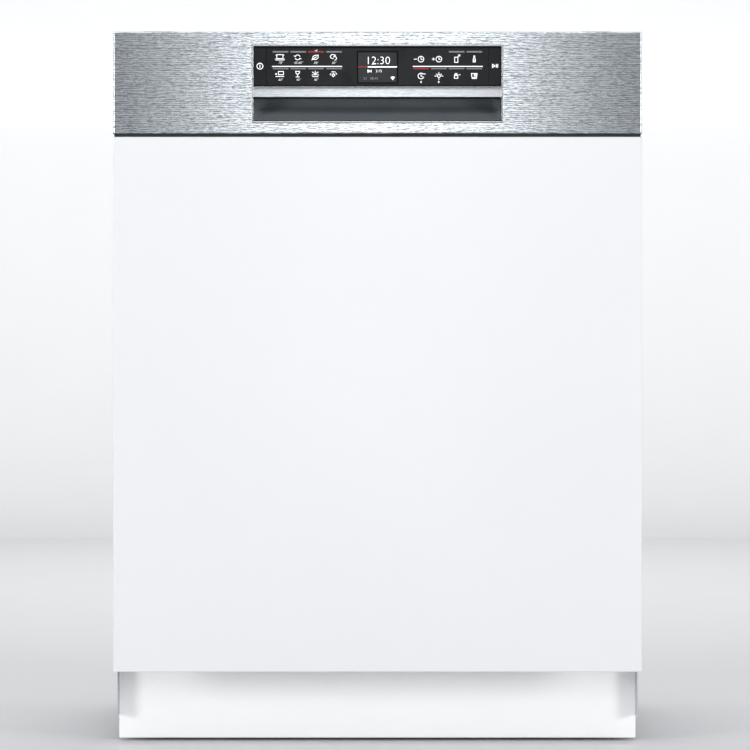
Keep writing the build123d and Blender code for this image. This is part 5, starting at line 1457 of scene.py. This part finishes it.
@dataclass
class Studio:
    """The floor, the soft lights and the camera.

    Attributes:
        distance: How far the camera stands from the front, in metres.
        view_width: The width that it sees at the front, in metres.
        eye: Where it stands, across and up, in metres.
        sensor: The width of the camera's sensor, in millimetres.
        far: Where the camera's sight ends, in metres.
        floor_radius: Where the flat floor ends, in metres.
        rim_radius: The radius of the curve that the floor's rim rises in.
        rim_height: How high the rim rises.
        middle_height: How high the place lies that the floor and its rim face.
        sides: How many sides the round floor has.
        bends: How many steps the rim's curve has.
        air: The room's own colour.
        air_strength: How bright the room is.
        panels: The soft lights, in the order in which they are hung.
    """

    distance: float = 4.0
    view_width: float = 0.845
    eye: tuple[float, float] = (-0.0028, 0.4226)
    sensor: float = 36.0
    far: float = 60.0
    floor_radius: float = 5.0
    rim_radius: float = 2.0
    rim_height: float = 8.0
    middle_height: float = 3.0
    sides: int = 96
    bends: int = 12
    air: tuple[float, float, float, float] = (0.92, 0.95, 1.0, 1.0)
    air_strength: float = 0.28
    panels: tuple[Panel, ...] = (
        Panel("front_panel", (0.0, -5.2, 1.35), (0.0, -0.3, 0.6), (0.62, 2.6), 16.5),
        Panel("top_panel", (0.0, -2.7, 3.0), (0.0, -0.4, 0.4), (2.4, 1.1), 6.5),
        Panel("near_panel", (0.0, -1.5, 1.9), (0.0, -0.3, 0.5), (2.0, 0.6), 10.0),
        Panel("left_panel", (-3.4, -3.0, 0.7), (0.0, -0.2, 0.2), (1.2, 1.2), 76.0),
        Panel("right_panel", (3.4, -3.0, 0.7), (0.0, -0.2, 0.2), (1.2, 1.2), 76.0),
        Panel("high_panel", (0.0, 0.55, 3.6), (0.0, 0.55, 0.0), (3.4, 1.6), 32.0),
        Panel("rear_panel_light", (0.0, 3.0, 2.8), (0.0, 0.2, 0.5), (2.4, 1.4), 24.0),
        Panel("backdrop_panel", (0.0, 3.6, 4.4), (0.0, 6.6, 0.9), (5.0, 0.8), 150.0),
    )

    def build(self) -> None:
        """Sets the floor, the backdrop, the lights and the camera."""
        self.lay_floor()
        self.hang_lights()
        self.place_camera()

    def lay_floor(self) -> None:
        """Lays a round pale floor, with a far rim that curves up all round and casts no light."""
        paper = Lacquer("studio_paper", (0.93, 0.935, 0.94), 0.7).material()
        edge, curve = self.floor_radius, self.rim_radius
        bend = [math.pi / 2 * i / self.bends for i in range(self.bends + 1)]
        rise = [(edge + curve * math.sin(turn), curve - curve * math.cos(turn)) for turn in bend]
        self.lay("studio_floor", [(0.0, 0.0), (1.5, 0.0), (edge, 0.0)], paper)
        rim = self.lay("studio_rim", rise + [(edge + curve, self.rim_height)], self.one_way(paper))
        rim.visible_diffuse = rim.visible_glossy = rim.visible_shadow = False

    def lay(self, name: str, outline: list[Point], paper: bpy.types.Material) -> bpy.types.Object:
        """Adds a round piece of the stage, with its faces turned to the middle.

        Args:
            name: The piece's name.
            outline: The piece's section, as radii and heights in metres.
            paper: The piece's material.

        Returns:
            The piece.
        """
        mesh = bmesh.new()
        add_ring(mesh, outline, Matrix.Identity(4), self.sides)
        mesh.normal_update()
        for face in mesh.faces:
            inward = Vector((0.0, 0.0, self.middle_height)) - face.calc_center_median()
            if face.normal.dot(inward) < 0:
                face.normal_flip()
        data = bpy.data.meshes.new(name)
        mesh.to_mesh(data)
        mesh.free()
        data.materials.append(paper)
        for face in data.polygons:
            face.use_smooth = True
        piece = bpy.data.objects.new(name, data)
        bpy.context.scene.collection.objects.link(piece)
        LOG.info("%s is laid in %s", name, paper.name)
        return piece

    @staticmethod
    def one_way(paper: bpy.types.Material) -> bpy.types.Material:
        """Returns a copy of the paper that is clear from behind, so that the rim hides nothing.

        Args:
            paper: The floor's material.

        Returns:
            The rim's material.
        """
        made = paper.copy()
        made.name = "studio_rim_paper"
        tree = made.node_tree
        output = next(node for node in tree.nodes if node.type == "OUTPUT_MATERIAL")
        front = output.inputs["Surface"].links[0].from_socket
        kinds = "BsdfTransparent", "MixShader", "NewGeometry"
        clear, share, sides = (tree.nodes.new(f"ShaderNode{kind}") for kind in kinds)
        tree.links.new(sides.outputs["Backfacing"], share.inputs[0])
        tree.links.new(front, share.inputs[1])
        tree.links.new(clear.outputs[0], share.inputs[2])
        tree.links.new(share.outputs[0], output.inputs["Surface"])
        return made

    def hang_lights(self) -> None:
        """Hangs soft panels above, in front and to the sides, in an even pale room."""
        world = bpy.data.worlds.new("studio_air")
        bpy.context.scene.world = world
        world.use_nodes = True
        glow = world.node_tree.nodes["Background"].inputs
        glow["Color"].default_value = self.air
        glow["Strength"].default_value = self.air_strength
        for panel in self.panels:
            panel.hang()

    def place_camera(self) -> None:
        """Stands the camera square to the front with a long lens."""
        camera = bpy.data.cameras.new("front_camera")
        camera.sensor_width = self.sensor
        camera.lens = camera.sensor_width * self.distance / self.view_width
        camera.clip_end = self.far
        holder = bpy.data.objects.new("front_camera", camera)
        holder.location = (self.eye[0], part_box("fascia_plate")[0].y - self.distance, self.eye[1])
        holder.rotation_euler = (math.pi / 2, 0.0, 0.0)
        bpy.context.scene.collection.objects.link(holder)
        bpy.context.scene.camera = holder


def sub_assemblies() -> list[SubAssembly]:
    """Lists the sub-assemblies.

    Returns:
        Every sub-assembly, in the order in which they are built.
    """
    wheels = {f"{end}_{side}_wheel": RACK_PLASTIC for end in ("front", "rear") for side in ("left", "right")}
    feet = {f"{name}_foot": FOOT_THREAD for name in ("front_left", "front_right", "rear")}
    return [
        SubAssembly("door", {"furniture_front": WHITE_LACQUER, "fascia_plate": FASCIA_METAL}),
        ControlInlay("door", {
            "touch_panel": TOUCH_GLASS, "display_window": DISPLAY_GLASS, "power_key": TOUCH_GLASS,
            "start_key": TOUCH_GLASS, "control_module": BLACK_PLASTIC}),
        InlayTrim("door", {"grip_strip": GRIP_METAL}),
        GripRecess("door", {"grip_pocket": RECESS_PLASTIC}),
        DoorShell("door", {
            "outer_door_sheet": ZINC_SHEET, "inner_door_panel": DOOR_STEEL, "door_screws": HINGE_METAL,
            "fascia_carrier": CARRIER_PLASTIC, "door_lock": BLACK_PLASTIC, "hinge_arms": HINGE_METAL}),
        Dispenser("door", {
            "dispenser_body": DISPENSER_PLASTIC, "detergent_lid": WATER_PLASTIC,
            "rinse_aid_cap": WATER_PLASTIC}),
        OuterBody("cabinet", {
            "side_panels": ZINC_SHEET, "rear_panel": ZINC_SHEET, "top_braces": ZINC_SHEET,
            "insulation_mat": GREY_FELT, "toe_panel": TOE_LACQUER_PAINTED_LIGHT, "hinge_brackets": HINGE_METAL,
            "door_springs": HINGE_METAL}),
        SubAssembly("cabinet", {
            "tub_wrap": TUB_STEEL, "tub_back": TUB_STEEL, "tub_floor": TUB_STEEL,
            "tub_front_frame": TUB_STEEL, "fine_filter": TUB_STEEL, "fixed_rails": RAIL_STEEL,
            "middle_rails": RAIL_STEEL, "inner_rails": RAIL_STEEL, "door_gasket": SEAL_RUBBER,
            "riser_pipe": WATER_PLASTIC}),
        SubAssembly("cabinet", {
            "base_tray": BASE_PLASTIC, "sump": BASE_PLASTIC, "pumps": BLACK_PLASTIC,
            "salt_container": BASE_PLASTIC, "salt_cap": PALE_PLASTIC, "coarse_filter": WATER_PLASTIC,
            "rear_connections": INLET_THREAD, "rear_foot_adjuster": ROD_METAL, **feet}),
        Racks("lower_rack", {
            "lower_rack_basket": RACK_WIRE, "upper_rack_basket": RACK_WIRE, "left_tine_row": RACK_WIRE,
            "right_tine_row": RACK_WIRE, "left_cup_shelf": RACK_PLASTIC, "right_cup_shelf": RACK_PLASTIC,
            "cutlery_tray": RACK_PLASTIC, **wheels}),
        SprayArms("lower_spray_arm", {
            "lower_spray_arm": WATER_PLASTIC, "upper_spray_arm": WATER_PLASTIC,
            "upper_spray_feed": WATER_PLASTIC}),
    ]


def main() -> None:
    """Builds and dresses every sub-assembly, then the studio."""
    logging.basicConfig(level=logging.INFO, format="%(message)s")
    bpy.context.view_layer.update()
    bpy.context.scene.view_settings.view_transform = "Standard"
    for group in sub_assemblies():
        group.dress()
        group.build()
    Studio().build()


if __name__ == "__main__":
    main()
